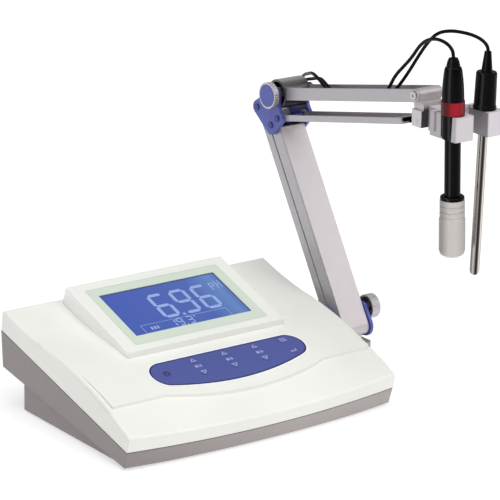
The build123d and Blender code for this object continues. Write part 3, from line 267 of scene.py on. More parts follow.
class Shader:
    """A material's node tree with short calls for the nodes that these materials use."""

    def __init__(self, name, color, roughness, metallic=0.0, edge=0.0006, **sockets):
        self.material = bpy.data.materials.new(name)
        self.material.use_nodes = True
        self.tree = self.material.node_tree
        self.shader = self.tree.nodes["Principled BSDF"]
        self.shader.inputs["Base Color"].default_value = (*color, 1)
        self.shader.inputs["Roughness"].default_value = roughness
        self.shader.inputs["Metallic"].default_value = metallic
        for socket, value in sockets.items():
            self.shader.inputs[socket.replace("_", " ")].default_value = value
        self.material.diffuse_color = (*color, 1)
        self.coordinates = self.tree.nodes.new("ShaderNodeTexCoord")
        self.color = color
        self.edge = edge

    def link(self, start, end):
        """Join an output to an input."""
        self.tree.links.new(start, end)

    def noise(self, scale, detail=2.0, stretch=(1, 1, 1)):
        """Noise over the object, scale in cells per metre, stretched by axis."""
        mapping = self.tree.nodes.new("ShaderNodeMapping")
        mapping.inputs["Scale"].default_value = stretch
        self.link(self.coordinates.outputs["Object"], mapping.inputs["Vector"])
        texture = self.tree.nodes.new("ShaderNodeTexNoise")
        texture.inputs["Scale"].default_value = scale
        texture.inputs["Detail"].default_value = detail
        self.link(mapping.outputs["Vector"], texture.inputs["Vector"])
        return texture.outputs["Fac"]

    def spread(self, value, low, high, to_low=0.0, to_high=1.0):
        """A value that goes from low to high, as one that goes from to_low to to_high."""
        spread = self.tree.nodes.new("ShaderNodeMapRange")
        spread.inputs["From Min"].default_value = low
        spread.inputs["From Max"].default_value = high
        spread.inputs["To Min"].default_value = to_low
        spread.inputs["To Max"].default_value = to_high
        self.link(value, spread.inputs["Value"])
        return spread.outputs["Result"]

    def along(self, output, direction, low, high):
        """0 to 1 as a coordinate's reach along a direction goes from low to high."""
        reach = self.tree.nodes.new("ShaderNodeVectorMath")
        reach.operation = "DOT_PRODUCT"
        reach.inputs[1].default_value = direction
        self.link(self.coordinates.outputs[output], reach.inputs[0])
        return self.spread(reach.outputs["Value"], low, high)

    def ramp(self, factor, stops):
        """Colours by position along a factor, put on the base colour and given back."""
        ramp = self.tree.nodes.new("ShaderNodeValToRGB")
        while len(ramp.color_ramp.elements) < len(stops):
            ramp.color_ramp.elements.new(0.5)
        for element, (position, color) in zip(ramp.color_ramp.elements, stops):
            element.position = position
            element.color = (*color, 1)
        self.link(factor, ramp.inputs["Fac"])
        self.link(ramp.outputs["Color"], self.shader.inputs["Base Color"])
        return ramp.outputs["Color"]

    def side_shade(self, front, side):
        """One colour, and another, as painted shade, on the faces that look left."""
        return self.ramp(self.along("Normal", LEFT, 0.5, 0.95), [(0.0, front), (1.0, side)])

    def mix(self, factor, first, second):
        """The base colour goes from a first colour to a second as a factor goes from 0 to 1."""
        mix = self.tree.nodes.new("ShaderNodeMix")
        mix.data_type = "RGBA"
        self.link(factor, mix.inputs["Factor"])
        for socket, color in zip([s for s in mix.inputs if s.type == "RGBA"], (first, second)):
            self.link(color, socket)
        output = next(s for s in mix.outputs if s.type == "RGBA")
        self.link(output, self.shader.inputs["Base Color"])

    def vary_color(self, factor, darker, lighter):
        """Let the colour drift between two multiples of the base colour."""
        low = [v * darker for v in self.color]
        high = [min(1, v * lighter) for v in self.color]
        self.ramp(factor, [(0.3, low), (0.7, high)])

    def vary_roughness(self, factor, low, high):
        """Let the roughness drift between two values."""
        self.link(self.spread(factor, 0.3, 0.7, low, high), self.shader.inputs["Roughness"])

    def bump(self, height, strength, distance):
        """Bump from a height, with the edges eased by a small bevel."""
        bevel = self.tree.nodes.new("ShaderNodeBevel")
        bevel.samples = 4
        bevel.inputs["Radius"].default_value = self.edge
        bump = self.tree.nodes.new("ShaderNodeBump")
        bump.inputs["Strength"].default_value = strength
        bump.inputs["Distance"].default_value = distance
        self.link(height, bump.inputs["Height"])
        self.link(bevel.outputs["Normal"], bump.inputs["Normal"])
        self.link(bump.outputs["Normal"], self.shader.inputs["Normal"])

    def mould_grain(self, low, high, strength=0.12):
        """A moulded surface: gloss that drifts from low to high, and a fine grain."""
        self.vary_roughness(self.noise(GLOSS_CELLS, 4), low, high)
        self.bump(self.noise(GRAIN_CELLS, 2), strength, GRAIN_DEPTH)


def srgb(*values):
    """Linear colour from 0-255 display values."""
    shares = [v / 255 for v in values]
    return tuple(s / 12.92 if s < 0.04045 else ((s + 0.055) / 1.055) ** 2.4 for s in shares)


ARM_GREY = srgb(204, 197, 200)
CASING_WHITE = srgb(236, 237, 231)


def tinted(greys, tint):
    """Ramp stops from greys by position, each in a tint."""
    return [(position, srgb(*[grey * share for share in tint])) for position, grey in greys]


def moulded(name, color, roughness, bump=0.12, drift=1.0, **settings):
    """Moulded plastic with a fine grain and a faint drift of colour and gloss."""
    made = Shader(name, color, roughness, **settings)
    made.vary_color(made.noise(18, 3), 1 - 0.025 * drift, 1 + 0.02 * drift)
    made.mould_grain(roughness - 0.04 * drift, roughness + 0.05 * drift, bump)
    return made.material


def drawn_metal(name, color, roughness, stretch):
    """Metal with fine lines drawn along one direction."""
    made = Shader(name, color, roughness, metallic=1.0, edge=0.0004)
    lines = made.noise(LINE_CELLS, 3, stretch)
    made.vary_color(made.noise(30, 3), 0.94, 1.04)
    made.vary_roughness(lines, roughness - 0.06, roughness + 0.08)
    made.bump(lines, 0.12, 0.00004)
    return made.material


def anodised(name, color, roughness, metallic, side=None):
    """Anodised or painted metal with a soft satin, that can take painted shade on its left-facing faces."""
    made = Shader(name, color, roughness, metallic, edge=0.0005)
    if side:
        made.side_shade(color, side)
    else:
        made.vary_color(made.noise(40, 3), 0.95, 1.03)
    made.vary_roughness(made.noise(220, 3), roughness - 0.05, roughness + 0.06)
    made.bump(made.noise(4200, 2), 0.08, 0.00003)
    return made.material


def lcd_glass():
    """The backlit display, deep blue with a paler right edge."""
    made = Shader("lcd_blue", srgb(78, 99, 172), 0.2, edge=0.0001, Specular_IOR_Level=0.2)
    made.ramp(made.along("Object", RIGHT, -0.065, 0.063), [
        (0.0, srgb(72, 94, 176)),
        (0.72, srgb(80, 104, 178)),
        (0.93, srgb(104, 136, 192)),
        (1.0, srgb(84, 112, 182)),
    ])
    made.bump(made.noise(1500, 2), 0.02, 0.00002)
    return made.material


def shaded_grey():
    """The base's grey plastic, darker towards its left side, as painted shade."""
    made = Shader("casing_grey", srgb(166, 158, 157), 0.46, edge=0.0012)
    painted_shade_grey, right_grey = srgb(141, 133, 134), srgb(168, 160, 158)
    made.ramp(made.along("Object", RIGHT, -0.145, 0.03), [(0.0, painted_shade_grey), (1.0, right_grey)])
    made.mould_grain(0.42, 0.51)
    return made.material


def housing_white():
    """The display housing's white, with painted light making its left-facing faces whiter."""
    made = Shader("housing_white", CASING_WHITE, 0.36, edge=0.0008)
    painted_light_white = srgb(255, 255, 254)
    made.ramp(made.along("Normal", LEFT, 0.3, 0.9), [(0.0, CASING_WHITE), (1.0, painted_light_white)])
    made.mould_grain(0.32, 0.41)
    return made.material


def shaded_metal(name, direction, greys, axis, start, end):
    """Brushed aluminium with painted shade on its left faces, and past a place along an axis painted highlights and
    shade that follow the way its faces turn.
    """
    made = Shader(name, ARM_GREY, 0.36, metallic=0.5)
    turned = made.ramp(made.along("Normal", direction, -1, 1), tinted(greys, (1.01, 0.98, 1)))
    left_shaded = made.side_shade(made.color, srgb(182, 178, 183))
    made.mix(made.along("Object", axis, start, end), left_shaded, turned)
    lines = made.noise(LINE_CELLS, 3, ALONG_X)
    made.vary_roughness(lines, 0.28, 0.46)
    made.bump(lines, 0.1, 0.00004)
    return made.material


def barrel_metal():
    """The top link, with painted dark reflections and painted shade streaking its barrel at the elbow."""
    greys = [
        (0.0, 34), (0.36, 48), (0.5, 116), (0.62, 74), (0.74, 118), (0.84, 66), (0.93, 104), (1.0, 176),
    ]
    return shaded_metal("top_link", UP, greys, BACK, 0.0795, 0.0800)


def head_metal():
    """The head block, with a painted shadow darkening the front faces of its body under the pin."""
    greys = [(0.0, 150), (0.48, 204), (0.6, 208), (0.85, 140), (0.99, 78), (1.0, 72)]
    return shaded_metal("head_block", FRONT, greys, DOWN, -0.284, -0.280)


def shaded_holder():
    """The holder's pale moulding, with painted shade on its left faces, deepest on those of its right part."""
    made = Shader("holder_plastic", srgb(210, 204, 209), 0.4, edge=0.0012)
    left_clip = made.side_shade(srgb(210, 204, 209), srgb(186, 181, 185))
    right_clip = made.side_shade(srgb(216, 210, 215), srgb(142, 137, 141))
    made.mix(made.along("Object", RIGHT, 0.175, 0.180), left_clip, right_clip)
    made.mould_grain(0.36, 0.46, 0.1)
    return made.material


def turned_round(name, tint, greys, roughness, edge=0.0003, **settings):
    """A turned piece with painted highlights and shade that run across it, from its left edge to its right."""
    made = Shader(name, srgb(*[150 * share for share in tint]), roughness, edge=edge, **settings)
    made.ramp(made.along("Normal", ACROSS_RODS, -1, 1), tinted(greys, tint))
    made.vary_roughness(made.noise(700, 3, ALONG_Z), roughness - 0.04, roughness + 0.08)
    made.bump(made.noise(LINE_CELLS, 2, ALONG_Z), 0.06, 0.00003)
    return made.material


def probe_steel():
    """The probe's polished tube, with the painted dark reflection streak and painted highlights of a bright round bar.
    """
    greys = [
        (0.0, 140), (0.28, 190), (0.4, 140), (0.49, 42), (0.64, 34), (0.74, 120), (0.82, 235), (1.0, 120),
    ]
    return turned_round("probe_steel", (1, 0.96, 0.93), greys, 0.16, metallic=0.85)


def black_plastic():
    """Glossy black with a painted highlight line near each edge."""
    greys = [(0.0, 6), (0.2, 10), (0.3, 62), (0.38, 14), (0.6, 4), (0.86, 6), (0.93, 40), (1.0, 8)]
    return turned_round(
        "black_plastic", (0.96, 0.96, 1), greys, 0.24, edge=0.0005, Specular_IOR_Level=0.06
    )


def red_plastic():
    """The ring's red, with a painted highlight in the middle and painted shade towards its edges."""
    greys = [(0.0, 64), (0.25, 96), (0.42, 158), (0.6, 166), (0.85, 136), (1.0, 80)]
    return turned_round(
        "red_plastic", (1, 0.1, 0.2), greys, 0.3, edge=0.0006, Specular_IOR_Level=0.2
    )


def bottle_pearl():
    """The storage bottle's cloudy white, with painted shade towards its edges and a painted highlight left of its
    middle.
    """
    greys = [(0.0, 146), (0.12, 168), (0.34, 206), (0.62, 200), (0.85, 178), (1.0, 144)]
    return turned_round("bottle_pearl", (1, 0.975, 0.95), greys, 0.26, edge=0.0005)


MATERIALS = {
    "casing_white": moulded("casing_white", CASING_WHITE, 0.36, edge=0.0008),
    "casing_grey": shaded_grey(),
    "window_green": moulded(
        "window_green", srgb(210, 222, 208), 0.3, edge=0.0004, bump=0.01, drift=0.2
    ),
    "lcd_blue": lcd_glass(),
    "keypad_film": moulded(
        "keypad_film", srgb(78, 88, 154), 0.42, edge=0.0002, bump=0.05, Specular_IOR_Level=0.3
    ),
    # painted shade on the arm's left-facing faces
    "arm_aluminium": anodised("arm_aluminium", ARM_GREY, 0.42, 0.5, side=srgb(186, 182, 187)),
    "plate_blue": anodised("plate_blue", srgb(86, 96, 172), 0.4, 0.25),
    "blued_steel": anodised("blued_steel", srgb(66, 70, 134), 0.3, 0.6),
    "bright_metal": drawn_metal("bright_metal", srgb(196, 192, 194), 0.32, (0.05, 1, 1)),
    "probe_steel": probe_steel(),
    "holder_plastic": shaded_holder(),
    "black_plastic": black_plastic(),
    "lead_rubber": moulded("lead_rubber", srgb(5, 5, 6), 0.34, edge=0.0001, Specular_IOR_Level=0.12),
    "foot_rubber": moulded("foot_rubber", srgb(34, 34, 36), 0.7),
    "red_plastic": red_plastic(),
    "bottle_pearl": bottle_pearl(),
    "bulb_glass": moulded("bulb_glass", srgb(230, 232, 232), 0.05, edge=0.0001, bump=0.0),
    "board_green": moulded("board_green", srgb(40, 110, 68), 0.4, edge=0.0002),
}
# nodes whose materials add painted light and shade beyond their slot's material
NODE_MATERIALS = {
    "display_bezel": housing_white(),
    "top_link": barrel_metal(),
    "head_block": head_metal(),
}
# colour, roughness and bump of the inks and films
INKS = {
    "film_border": ((246, 247, 252), 0.4, 0.03),
    "film_edge": ((30, 32, 78), 0.4, 0.02),
    "key_print": ((160, 166, 214), 0.45, 0.03),
    "power_print": ((44, 22, 74), 0.45, 0.03),
    "lcd_segment": ((150, 176, 226), 0.3, 0.02),
    "lcd_surround": ((34, 42, 92), 0.4, 0.02),
}
DETAIL_MATERIALS = {
    name: moulded(name, srgb(*color), roughness, edge=0.0001, bump=bump)
    for name, (color, roughness, bump) in INKS.items()
}


def dress_nodes():
    """Give every CAD node the material of its slot."""
    for part in frame["record"]["subparts"]:
        node = NODES[part["node"]]
        node.data.materials.clear()
        slot_material = MATERIALS[part["material_slot"]]
        node.data.materials.append(NODE_MATERIALS.get(part["node"], slot_material))


dress_nodes()

# ---------------------------------------------------------------- leads


def lower_point(x, a, b):
    """A route point at x, placed by its reach along the lower arm."""
    return (x, *along_lower(a, b))


def rod_exit(x, tilt, height):
    """Where a lead leaves the top of a rod, a height up its axis."""
    return (x - height * sin(tilt), ROD_Y, SEAT_Z + height * cos(tilt))


def desk_stretch(x, plug_x, reach):
    """Route points from the swivel's lug to the plug, along the desk and behind the meter."""
    return [
        (x, LUG_Y, 44),
        (x, LUG_Y + 0.4, 33),
        (x, LUG_Y + 0.8, 20),
        (x - 0.5, LUG_Y + 5.5, 8.5),
        (x - 3, LUG_Y + 18, 2.6),
        (x - 6.5, LUG_Y + 38, 1.9),
        (x - 8.5, LUG_Y + 62, 2.0),
        (x - 12, LUG_Y + 86, 1.9),
        (x - 18, LUG_Y + 108 + reach / 2, 2.1),
        (0.55 * x + 0.45 * plug_x, LUG_Y + 126 + reach, 4),
        (0.25 * x + 0.75 * plug_x, LUG_Y + 136 + reach, 15),
        (plug_x + 3, LUG_Y + 137 + reach, 31),
        (plug_x + 0.6, LUG_Y + 131 + reach / 2, 45),
        (plug_x, LUG_Y + 117, SOCKET_Z),
        (plug_x, PLUG_END_Y, SOCKET_Z),
    ]


ELECTRODE_ROUTE = [
    rod_exit(ELECTRODE_X, ELECTRODE_TILT, ELECTRODE_TOP),
    (159.65, ROD_Y, 338.5),
    (159.9, -147.2, 342.7),
    (160.3, -139.5, 345.3),
    (161.0, -127.0, 345.9),
    (161.8, -113.5, 342.4),
    (162.4, -102.5, 334.9),
    (163.0, -91.5, 321.6),
    (163.7, -79.0, 310.3),
    (164.3, -67.5, 300.0),
    (164.9, -59.5, 288.0),
    (165.3, -52.0, 279.0),
    (165.6, -40.0, 275.7),
    (166.4, -22.0, 272.1),
    (165.2, -3.0, 267.6),
    (166.4, 16.0, 264.0),
    (168.8, 31.0, 262.2),
    (172.6, 44.0, 264.2),
    (176.0, 58.0, 268.0),
    (179.4, 69.5, 270.0),
    (184.0, 81.0, 268.8),
    (189.0, 92.0, 265.0),
    (193.8, 104.5, 261.0),
    (197.4, 115.0, 252.5),
    (198.6, 123.5, 240.0),
    (196.4, 128.5, 225.5),
    (191.5, 129.0, 211.5),
    lower_point(186, 198, -31.5),
    lower_point(178, 184, -29.5),
    lower_point(169.5, 168, -24.0),
    lower_point(165.6, 151, -16.5),
    lower_point(164.8, 133, -13.3),
    lower_point(166.0, 113, -13.7),
    lower_point(164.8, 93, -13.2),
    lower_point(165.6, 71, -13.7),
    lower_point(165.0, 52, -15.0),
    (165.2, 33.6, 69.5),
    (165.0, 35.0, 56.5),
    *desk_stretch(LUG_LEADS_X[0], BNC_X, 0),
]
PROBE_ROUTE = [
    rod_exit(PROBE_X, PROBE_TILT, PROBE_TOP),
    (199.2, ROD_Y, 338.2),
    (198.2, -146.5, 343.0),
    (195.6, -137.5, 346.3),
    (191.6, -125.5, 347.6),
    (187.2, -112.5, 347.0),
    (183.6, -100.5, 343.0),
    (181.2, -91.0, 333.0),
    (178.6, -83.0, 320.5),
    (175.8, -74.5, 305.5),
    (173.4, -66.0, 292.5),
    (172.5, -57.5, 282.5),
    (172.2, -46.0, 277.2),
    (171.6, -31.0, 273.8),
    (172.6, -13.0, 269.7),
    (171.4, 6.0, 266.2),
    (173.4, 24.0, 262.4),
    (176.4, 39.0, 261.4),
    (179.8, 53.0, 264.9),
    (184.6, 65.5, 266.0),
    (189.0, 77.0, 263.8),
    (191.8, 89.0, 260.2),
    (192.8, 102.5, 256.5),
    (192.8, 111.5, 247.5),
    (192.6, 117.0, 236.5),
    (191.6, 120.0, 225.0),
    (189.0, 120.0, 213.5),
    lower_point(184, 202, -23.5),
    lower_point(178, 189, -20.0),
    lower_point(173.8, 173, -14.8),
    lower_point(172.8, 153, -13.3),
    lower_point(174.2, 131, -13.7),
    lower_point(172.8, 109, -13.2),
    lower_point(173.8, 87, -13.6),
    lower_point(173.0, 66, -14.0),
    lower_point(173.8, 49, -16.2),
    (173.6, 33.6, 68.0),
    (174.0, 35.0, 56.0),
    *desk_stretch(LUG_LEADS_X[1], DIN_X, 18),
]
# each stretch with the two bodies that it hangs between
STRETCHES = (
    ("arc", "{rod}", "head"),
    ("top", "head", "top_arm"),
    ("elbow", "top_arm", "elbow"),
    ("fore", "elbow", "rear_arm"),
    ("tail", "rear_arm", "swivel"),
    ("rear", "swivel", "root"),
)
CUTS = (6, 13, 20, 30, 37)


def cut_route(route, cuts):
    """The route's stretches, each ending halfway along the run after a cut's point."""
    joints = [tuple((p + q) / 2 for p, q in zip(route[i], route[i + 1])) for i in cuts]
    firsts = [0, *[i + 1 for i in cuts]]
    lasts = [*[i + 1 for i in cuts], len(route)]
    pieces = [list(route[first:last]) for first, last in zip(firsts, lasts)]
    for number, joint in enumerate(joints):
        pieces[number].append(joint)
        pieces[number + 1].insert(0, joint)
    return pieces


def route_curve(name, points):
    """A smooth NURBS curve with the route's points as its control points."""
    data = bpy.data.curves.new(name, "CURVE")
    data.dimensions = "3D"
    data.resolution_u = 10
    spline = data.splines.new("NURBS")
    spline.points.add(len(points) - 1)
    for place, point in zip(spline.points, points):
        place.co = (*mm(*point), 1)
    spline.order_u = 3
    spline.use_endpoint_u = True
    curve = bpy.data.objects.new(name, data)
    bpy.context.scene.collection.objects.link(curve)
    return curve


def curve_mesh(curve):
    """The curve as Blender evaluates it, as a mesh of its own."""
    graph = bpy.context.evaluated_depsgraph_get()
    return bpy.data.meshes.new_from_object(curve.evaluated_get(graph), depsgraph=graph)


def lead_tube(name, points):
    """One stretch of a lead as a tube, with the line along its middle."""
    curve = route_curve(name + "_route", points)
    line = [v.co.copy() for v in curve_mesh(curve).vertices]
    curve.data.bevel_depth = LEAD_R * MM
    curve.data.bevel_resolution = 5
    curve.data.use_fill_caps = True
    tube = bpy.data.objects.new(name + "_tube", curve_mesh(curve))
    bpy.context.scene.collection.objects.link(tube)
    bpy.data.objects.remove(curve)
    tube.data.materials.clear()
    tube.data.materials.append(MATERIALS["lead_rubber"])
    for face in tube.data.polygons:
        face.use_smooth = len(face.vertices) == 4
    return tube, line


def make_lead(rod, route, plug):
    """One lead, as six tubes that bend with the arm's joints."""
    for (stretch, first, second), points in zip(STRETCHES, cut_route(route, CUTS)):
        name = f"{rod}_lead_{stretch}"
        tube, line = lead_tube(name, points)
        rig.slot(tube, "lead_rubber")
        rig.replaces(tube, name)
        bodies = (first.format(rod=rod), second)
        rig.blend(tube, *bodies, start=line[0], end=line[-1])
        length = sum((q - p).length for p, q in zip(line, line[1:]))
        last = stretch == "rear"
        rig.cord(
            tube,
            exit=line[0],
            length=length,
            diameter=2 * LEAD_R * MM,
            far_end="connector" if last else "object",
            stiffness="limp",
            lay="loose",
            path=line,
            with_pieces=[plug] if last else [],
        )


make_lead("electrode", ELECTRODE_ROUTE, NODES["electrode_plug"])
make_lead("probe", PROBE_ROUTE, NODES["probe_plug"])

# ---------------------------------------------------------------- printing on the display and keypad
HOUSING_FRONT = (-14.6, 71.4)
HOUSING_SLOPE = atan2(104.4 - 71.4, 86.5 + 14.6)
LCD_DEPTH = 0.7
LCD_BOX = (-64.1, 62.5, 3.9, 65.9)
DECK_ARC = ((-118.0, 26.1), (-42.0, 58.0), (28.0, 73.2))
PANEL_LIFTS = ((-18.0, 0.0), (-50.0, 1.2), (-92.0, 3.4))
FILM_T = 0.4
KEY_PROUD = 0.15
PRINT_LIFT = 0.04
PRINT_T = 0.03
READING = (("6", -22.2), ("9", 1.2), ("6", 24.8))
SMALL_ROW = (("1", -23), ("9", -15), ("3", -4))
SMALL_ROW_Y = 5.6
KEY_COLUMNS = (-32.2, 1.5, 34.8)
KEY_ROWS = (("up", -37.6, 1), ("down", -55.8, -1))
COLUMN_BLOCKS = ((-3.4, -0.6), (0.4, 1.2), (2.0, 3.4))
POWER_KEY = (-66.4, -47.2)
FILM_BACK_Y = -30.6


def circle_through(p, q, r):
    """Centre and radius of the circle through three points."""
    d = 2 * (p[0] * (q[1] - r[1]) + q[0] * (r[1] - p[1]) + r[0] * (p[1] - q[1]))
    pp, qq, rr = (v[0] ** 2 + v[1] ** 2 for v in (p, q, r))
    cx = (pp * (q[1] - r[1]) + qq * (r[1] - p[1]) + rr * (p[1] - q[1])) / d
    cy = (pp * (r[0] - q[0]) + qq * (p[0] - r[0]) + rr * (q[0] - p[0])) / d
    return (cx, cy), hypot(p[0] - cx, p[1] - cy)


def arc_points(p, q, r, count):
    """Points along the arc from p through q, short of r."""
    centre, radius = circle_through(p, q, r)
    start, middle, end = (atan2(v[1] - centre[1], v[0] - centre[0]) for v in (p, q, r))
    turn = (end - start) % (2 * pi)
    if (middle - start) % (2 * pi) > turn:
        turn -= 2 * pi
    angles = [start + turn * i / count for i in range(count)]
    return [(centre[0] + radius * cos(a), centre[1] + radius * sin(a)) for a in angles]


def arch_height(circle, y):
    """Height of the top of a circle in the side view."""
    (middle, centre_z), radius = circle
    return centre_z + (radius**2 - (y - middle) ** 2) ** 0.5


DECK_CIRCLE = circle_through(*DECK_ARC)
PANEL_CIRCLE = circle_through(*[(y, arch_height(DECK_CIRCLE, y) + lift) for y, lift in PANEL_LIFTS])


def on_panel(lift):
    """A map from plan points to the keypad panel, a lift above it."""
    def place(x, y):
        return mm(x, y, arch_height(PANEL_CIRCLE, y) + lift)
    return place


def on_display(depth):
    """A map from plan points to the display's slope, a depth under it."""
    def place(x, y):
        height = HOUSING_FRONT[1] + (y - HOUSING_FRONT[0]) * tan(HOUSING_SLOPE)
        return mm(x, y, height - depth / cos(HOUSING_SLOPE))
    return place


def print_piece(name, shapes, place, material, slot, body="root", thickness=PRINT_T):
    """One thin printed piece made of flat shapes, each a ring of plan points."""
    points = []
    faces = []
    for ring in shapes:
        base = len(points)
        count = len(ring)
        top = [place(x, y) for x, y in ring]
        points += top
        points += [point - Vector((0, 0, thickness * MM)) for point in top]
        faces.append([base + i for i in range(count)])
        faces.append([base + count + i for i in reversed(range(count))])
        for i in range(count):
            j = (i + 1) % count
            faces.append([base + j, base + i, base + count + i, base + count + j])
    mesh = bpy.data.meshes.new(name)
    mesh.from_pydata(points, [], faces)
    mesh.materials.append(material)
    piece = bpy.data.objects.new(name, mesh)
    bpy.context.scene.collection.objects.link(piece)
    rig.slot(piece, slot)
    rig.ride(piece, body)
    return piece


def band(inner, outer):
    """Four-cornered shapes between two closed rings with as many points each."""
    count = len(inner)
    return [
        [inner[i], outer[i], outer[(i + 1) % count], inner[(i + 1) % count]] for i in range(count)
    ]


def grown(ring, distance):
    """A closed anticlockwise ring moved outwards."""
    moved = []
    for i, point in enumerate(ring):
        before, after = ring[i - 1], ring[(i + 1) % len(ring)]
        along = Vector((after[0] - before[0], after[1] - before[1])).normalized()
        moved.append((point[0] + along.y * distance, point[1] - along.x * distance))
    return moved


def film_outline():
    """The keypad film's outline, anticlockwise from its back right corner."""
    back_left, back_right = (-66.0, FILM_BACK_Y), (72.0, FILM_BACK_Y)
    front_left, front_right = (-74.0, -62.6), (72.0, -61.6)
    ring = arc_points(back_left, (-82.0, -49.6), front_left, 16)
    ring += arc_points(front_left, (-4.0, -73.6), front_right, 40)
    ring += arc_points(front_right, (83.5, -43.6), back_right, 16)
    ring += [(72 - 6 * i, FILM_BACK_Y) for i in range(23)]
    return ring


def disc(x, y, radius, count=20):
    """A round shape with a count of corners."""
    return [
        (x + radius * cos(2 * pi * i / count), y + radius * sin(2 * pi * i / count))
        for i in range(count)
    ]


def box_shape(x0, x1, y0, y1):
    """A rectangle's corners."""
    return [(x0, y0), (x1, y0), (x1, y1), (x0, y1)]


def frame_shapes(x0, x1, y0, y1, width):
    """The four sides of a rectangular frame, width wide, inside the box."""
    return [
        box_shape(x0, x1, y1 - width, y1),
        box_shape(x0, x1, y0, y0 + width),
        box_shape(x0, x0 + width, y0 + width, y1 - width),
        box_shape(x1 - width, x1, y0 + width, y1 - width),
    ]


# the lit bars of each figure, as (across, up, standing) of a seven-bar digit
BARS = {
    "a": (0.5, 2, False),
    "b": (1, 1.5, True),
    "c": (1, 0.5, True),
    "d": (0.5, 0, False),
    "e": (0, 0.5, True),
    "f": (0, 1.5, True),
    "g": (0.5, 1, False),
}
FIGURES = {"1": "bc", "3": "abcdg", "6": "acdefg", "9": "abcdfg"}


def figure(character, x, y, width, height, bar):
    """Shapes of a seven-bar figure whose low left corner is at x, y."""
    shapes = []
    half = bar / 2
    run = width - bar
    rise = (height - bar) / 2
    for name in FIGURES[character]:
        across, up, standing = BARS[name]
        cx = x + half + across * run
        cy = y + half + up * rise
        reach = (rise if standing else run) / 2 - bar * 0.08
        ends = [
            (-reach, 0), (-reach + half, -half), (reach - half, -half),
            (reach, 0), (reach - half, half), (-reach + half, half),
        ]
        if standing:
            ends = [(-v, u) for u, v in ends]
        shapes.append([(cx + u, cy + v) for u, v in ends])
    return shapes


def reading_shapes():
    """The large figures with their point, and the unit beside them."""
    shapes = []
    for character, left in READING:
        shapes += figure(character, left, 19, 18, 35, 3.6)
    shapes.append(box_shape(-2.6, 0.2, 18.6, 21.4))
    shapes += frame_shapes(47, 51.8, 47.6, 53, 1)
    shapes.append(box_shape(47, 48, 42.6, 47.6))
    shapes.append(box_shape(54, 55, 44, 55))
    shapes.append(box_shape(55, 58, 49, 50))
    shapes.append(box_shape(58, 59, 44, 55))
    return shapes


def small_row_shapes():
    """The framed row under the reading: a temperature, its degree ring and three bars."""
    shapes = []
    for character, left in SMALL_ROW:
        shapes += figure(character, left, SMALL_ROW_Y, 6.6, 10.6, 1.4)
    shapes.append(box_shape(-7, -5.8, SMALL_ROW_Y, SMALL_ROW_Y + 1.2))
    shapes.append(disc(5.6, 14.4, 1.0, 10))
    shapes += frame_shapes(-52, 42, 4.6, 16.6, 0.5)
    shapes += [box_shape(-44 + 3.2 * i, -42 + 3.2 * i, 8.4, 12.4) for i in range(3)]
    return shapes


def print_display():
    """The reading, the small row under it and the display's dark surround."""
    place = on_display(LCD_DEPTH - PRINT_LIFT)
    segment = DETAIL_MATERIALS["lcd_segment"]
    print_piece("display_reading", reading_shapes(), place, segment, "lcd_blue")
    print_piece("display_small_row", small_row_shapes(), place, segment, "lcd_blue")
    print_piece(
        "display_surround", frame_shapes(*LCD_BOX, 0.7), on_display(LCD_DEPTH - 0.1),
        DETAIL_MATERIALS["lcd_surround"], "lcd_blue", thickness=0.1,
    )


def arrow_shapes(x, y, sign):
    """The outline of an arrowhead that points back or forward on the keypad."""
    foot = y - 2.2 * sign
    outer = [(x - 3.4 * sign, foot), (x + 3.4 * sign, foot), (x, y + 2.9 * sign)]
    inner = [(x + (u - x) * 0.5, y + (v - y) * 0.5 - 0.15 * sign) for u, v in outer]
    return band(inner, outer)


def column_mark_shapes(x):
    """The three small blocks between the two keys of a column."""
    return [box_shape(x + left, x + right, -48.4, -45.0) for left, right in COLUMN_BLOCKS]


def function_shapes():
    """The function key's mark, a frame with a bar in it."""
    return [*frame_shapes(64.2, 70.2, -40.2, -35.2, 0.9), box_shape(65.8, 68.6, -38.2, -37.2)]


def enter_shapes():
    """The enter key's mark, a bent arrow."""
    arrowhead = [(65, -57.2), (65, -53.8), (63, -55.5)]
    return [box_shape(65, 70, -56.1, -54.9), box_shape(69, 70, -54.9, -52.6), arrowhead]


def power_shapes():
    """The power key's mark, an open ring with a bar in its gap."""
    x, y = POWER_KEY
    ring = band(disc(x, y, 1.7), disc(x, y, 3.1))
    shapes = [shape for i, shape in enumerate(ring) if i not in (4, 5)]
    shapes.append(box_shape(x - 0.5, x + 0.5, y, y + 3.6))
    return shapes


def print_film():
    """The keypad film's white border and dark edge."""
    outline = film_outline()
    border = band(grown(outline, 0.1), grown(outline, 1.5))
    print_piece(
        "film_border", border, on_panel(FILM_T + 0.02), DETAIL_MATERIALS["film_border"],
        "keypad_film", thickness=FILM_T - 0.05,
    )
    print_piece(
        "film_edge", band(grown(outline, -1.4), outline), on_panel(FILM_T + PRINT_LIFT),
        DETAIL_MATERIALS["film_edge"], "keypad_film",
    )


def print_keys():
    """The marks on the keys and those between them."""
    lilac = DETAIL_MATERIALS["key_print"]
    key_top = on_panel(FILM_T + KEY_PROUD + PRINT_LIFT)
    film_top = on_panel(FILM_T + PRINT_LIFT)
    for number, x in enumerate(KEY_COLUMNS, start=1):
        for direction, y, sign in KEY_ROWS:
            body = f"key_{direction}_{number}"
            arrow = arrow_shapes(x, y, sign)
            print_piece(f"{body}_print", arrow, key_top, lilac, "keypad_film", body)
        marks = column_mark_shapes(x)
        print_piece(f"column_mark_{number}", marks, film_top, lilac, "keypad_film")
    for name, shapes, ink in (
        ("function", function_shapes(), "key_print"),
        ("enter", enter_shapes(), "key_print"),
        ("power", power_shapes(), "power_print"),
    ):
        material = DETAIL_MATERIALS[ink]
        print_piece(f"{name}_print", shapes, key_top, material, "keypad_film", f"key_{name}")


print_display()
print_film()
print_keys()

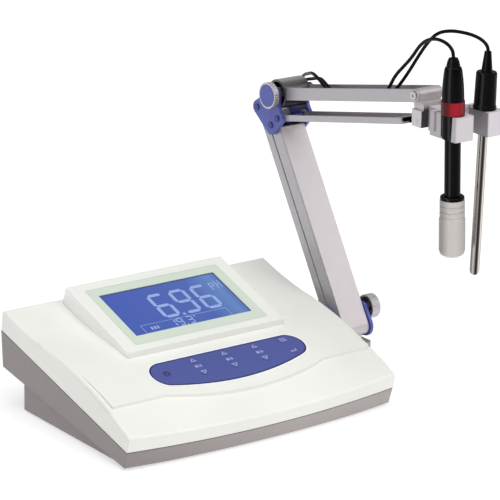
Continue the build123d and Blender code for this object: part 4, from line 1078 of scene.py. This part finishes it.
# ---------------------------------------------------------------- studio


WHITE = (1, 1, 1, 1)
TABLE_HALF = 6
TABLE_COLOR = (0.55, 0.55, 0.55)
TABLE_GLOW = 0.57
WORLD_STRENGTH = 0.28
# name, direction towards the light, strength and width in degrees
SUNS = (
    ("overhead", (-0.12, -0.2, 0.97), 1.9, 60),
    ("front", (0.45, -0.65, 0.6), 0.72, 50),
    ("left", (-0.9, -0.2, 0.35), 0.15, 50),
)


def make_table():
    """The flat pale table, that gives off a little light of its own."""
    half = TABLE_HALF
    mesh = bpy.data.meshes.new("table_top")
    corners = [(-half, -half, 0), (half, -half, 0), (half, half, 0), (-half, half, 0)]
    mesh.from_pydata(corners, [], [(0, 1, 2, 3)])
    sheet = bpy.data.objects.new("table_top", mesh)
    bpy.context.scene.collection.objects.link(sheet)
    made = Shader("table_top", TABLE_COLOR, 0.95, Specular_IOR_Level=0.0)
    made.shader.inputs["Emission Color"].default_value = WHITE
    made.shader.inputs["Emission Strength"].default_value = TABLE_GLOW
    mesh.materials.append(made.material)
    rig.stage(sheet)


def make_world():
    """An even white surrounding light."""
    world = bpy.data.worlds.new("studio")
    bpy.context.scene.world = world
    world.use_nodes = True
    background = world.node_tree.nodes["Background"]
    background.inputs["Color"].default_value = WHITE
    background.inputs["Strength"].default_value = WORLD_STRENGTH


def make_sun(name, toward, strength, width):
    """A broad soft light from one direction."""
    data = bpy.data.lights.new(name, "SUN")
    data.energy = strength
    data.angle = radians(width)
    light = bpy.data.objects.new(name, data)
    light.rotation_euler = Vector(toward).to_track_quat("Z", "Y").to_euler()
    bpy.context.scene.collection.objects.link(light)


def make_studio():
    """A pale table that glows a little, under three broad lights."""
    make_table()
    make_world()
    for sun in SUNS:
        make_sun(*sun)
    bpy.context.scene.view_settings.view_transform = "Standard"


make_studio()

with open("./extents.json", "w") as size_file:
    boxes = {"cad": CAD_BOUNDS, "visual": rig.bounds()}
    json.dump({k: [list(map(float, corner)) for corner in v] for k, v in boxes.items()}, size_file)
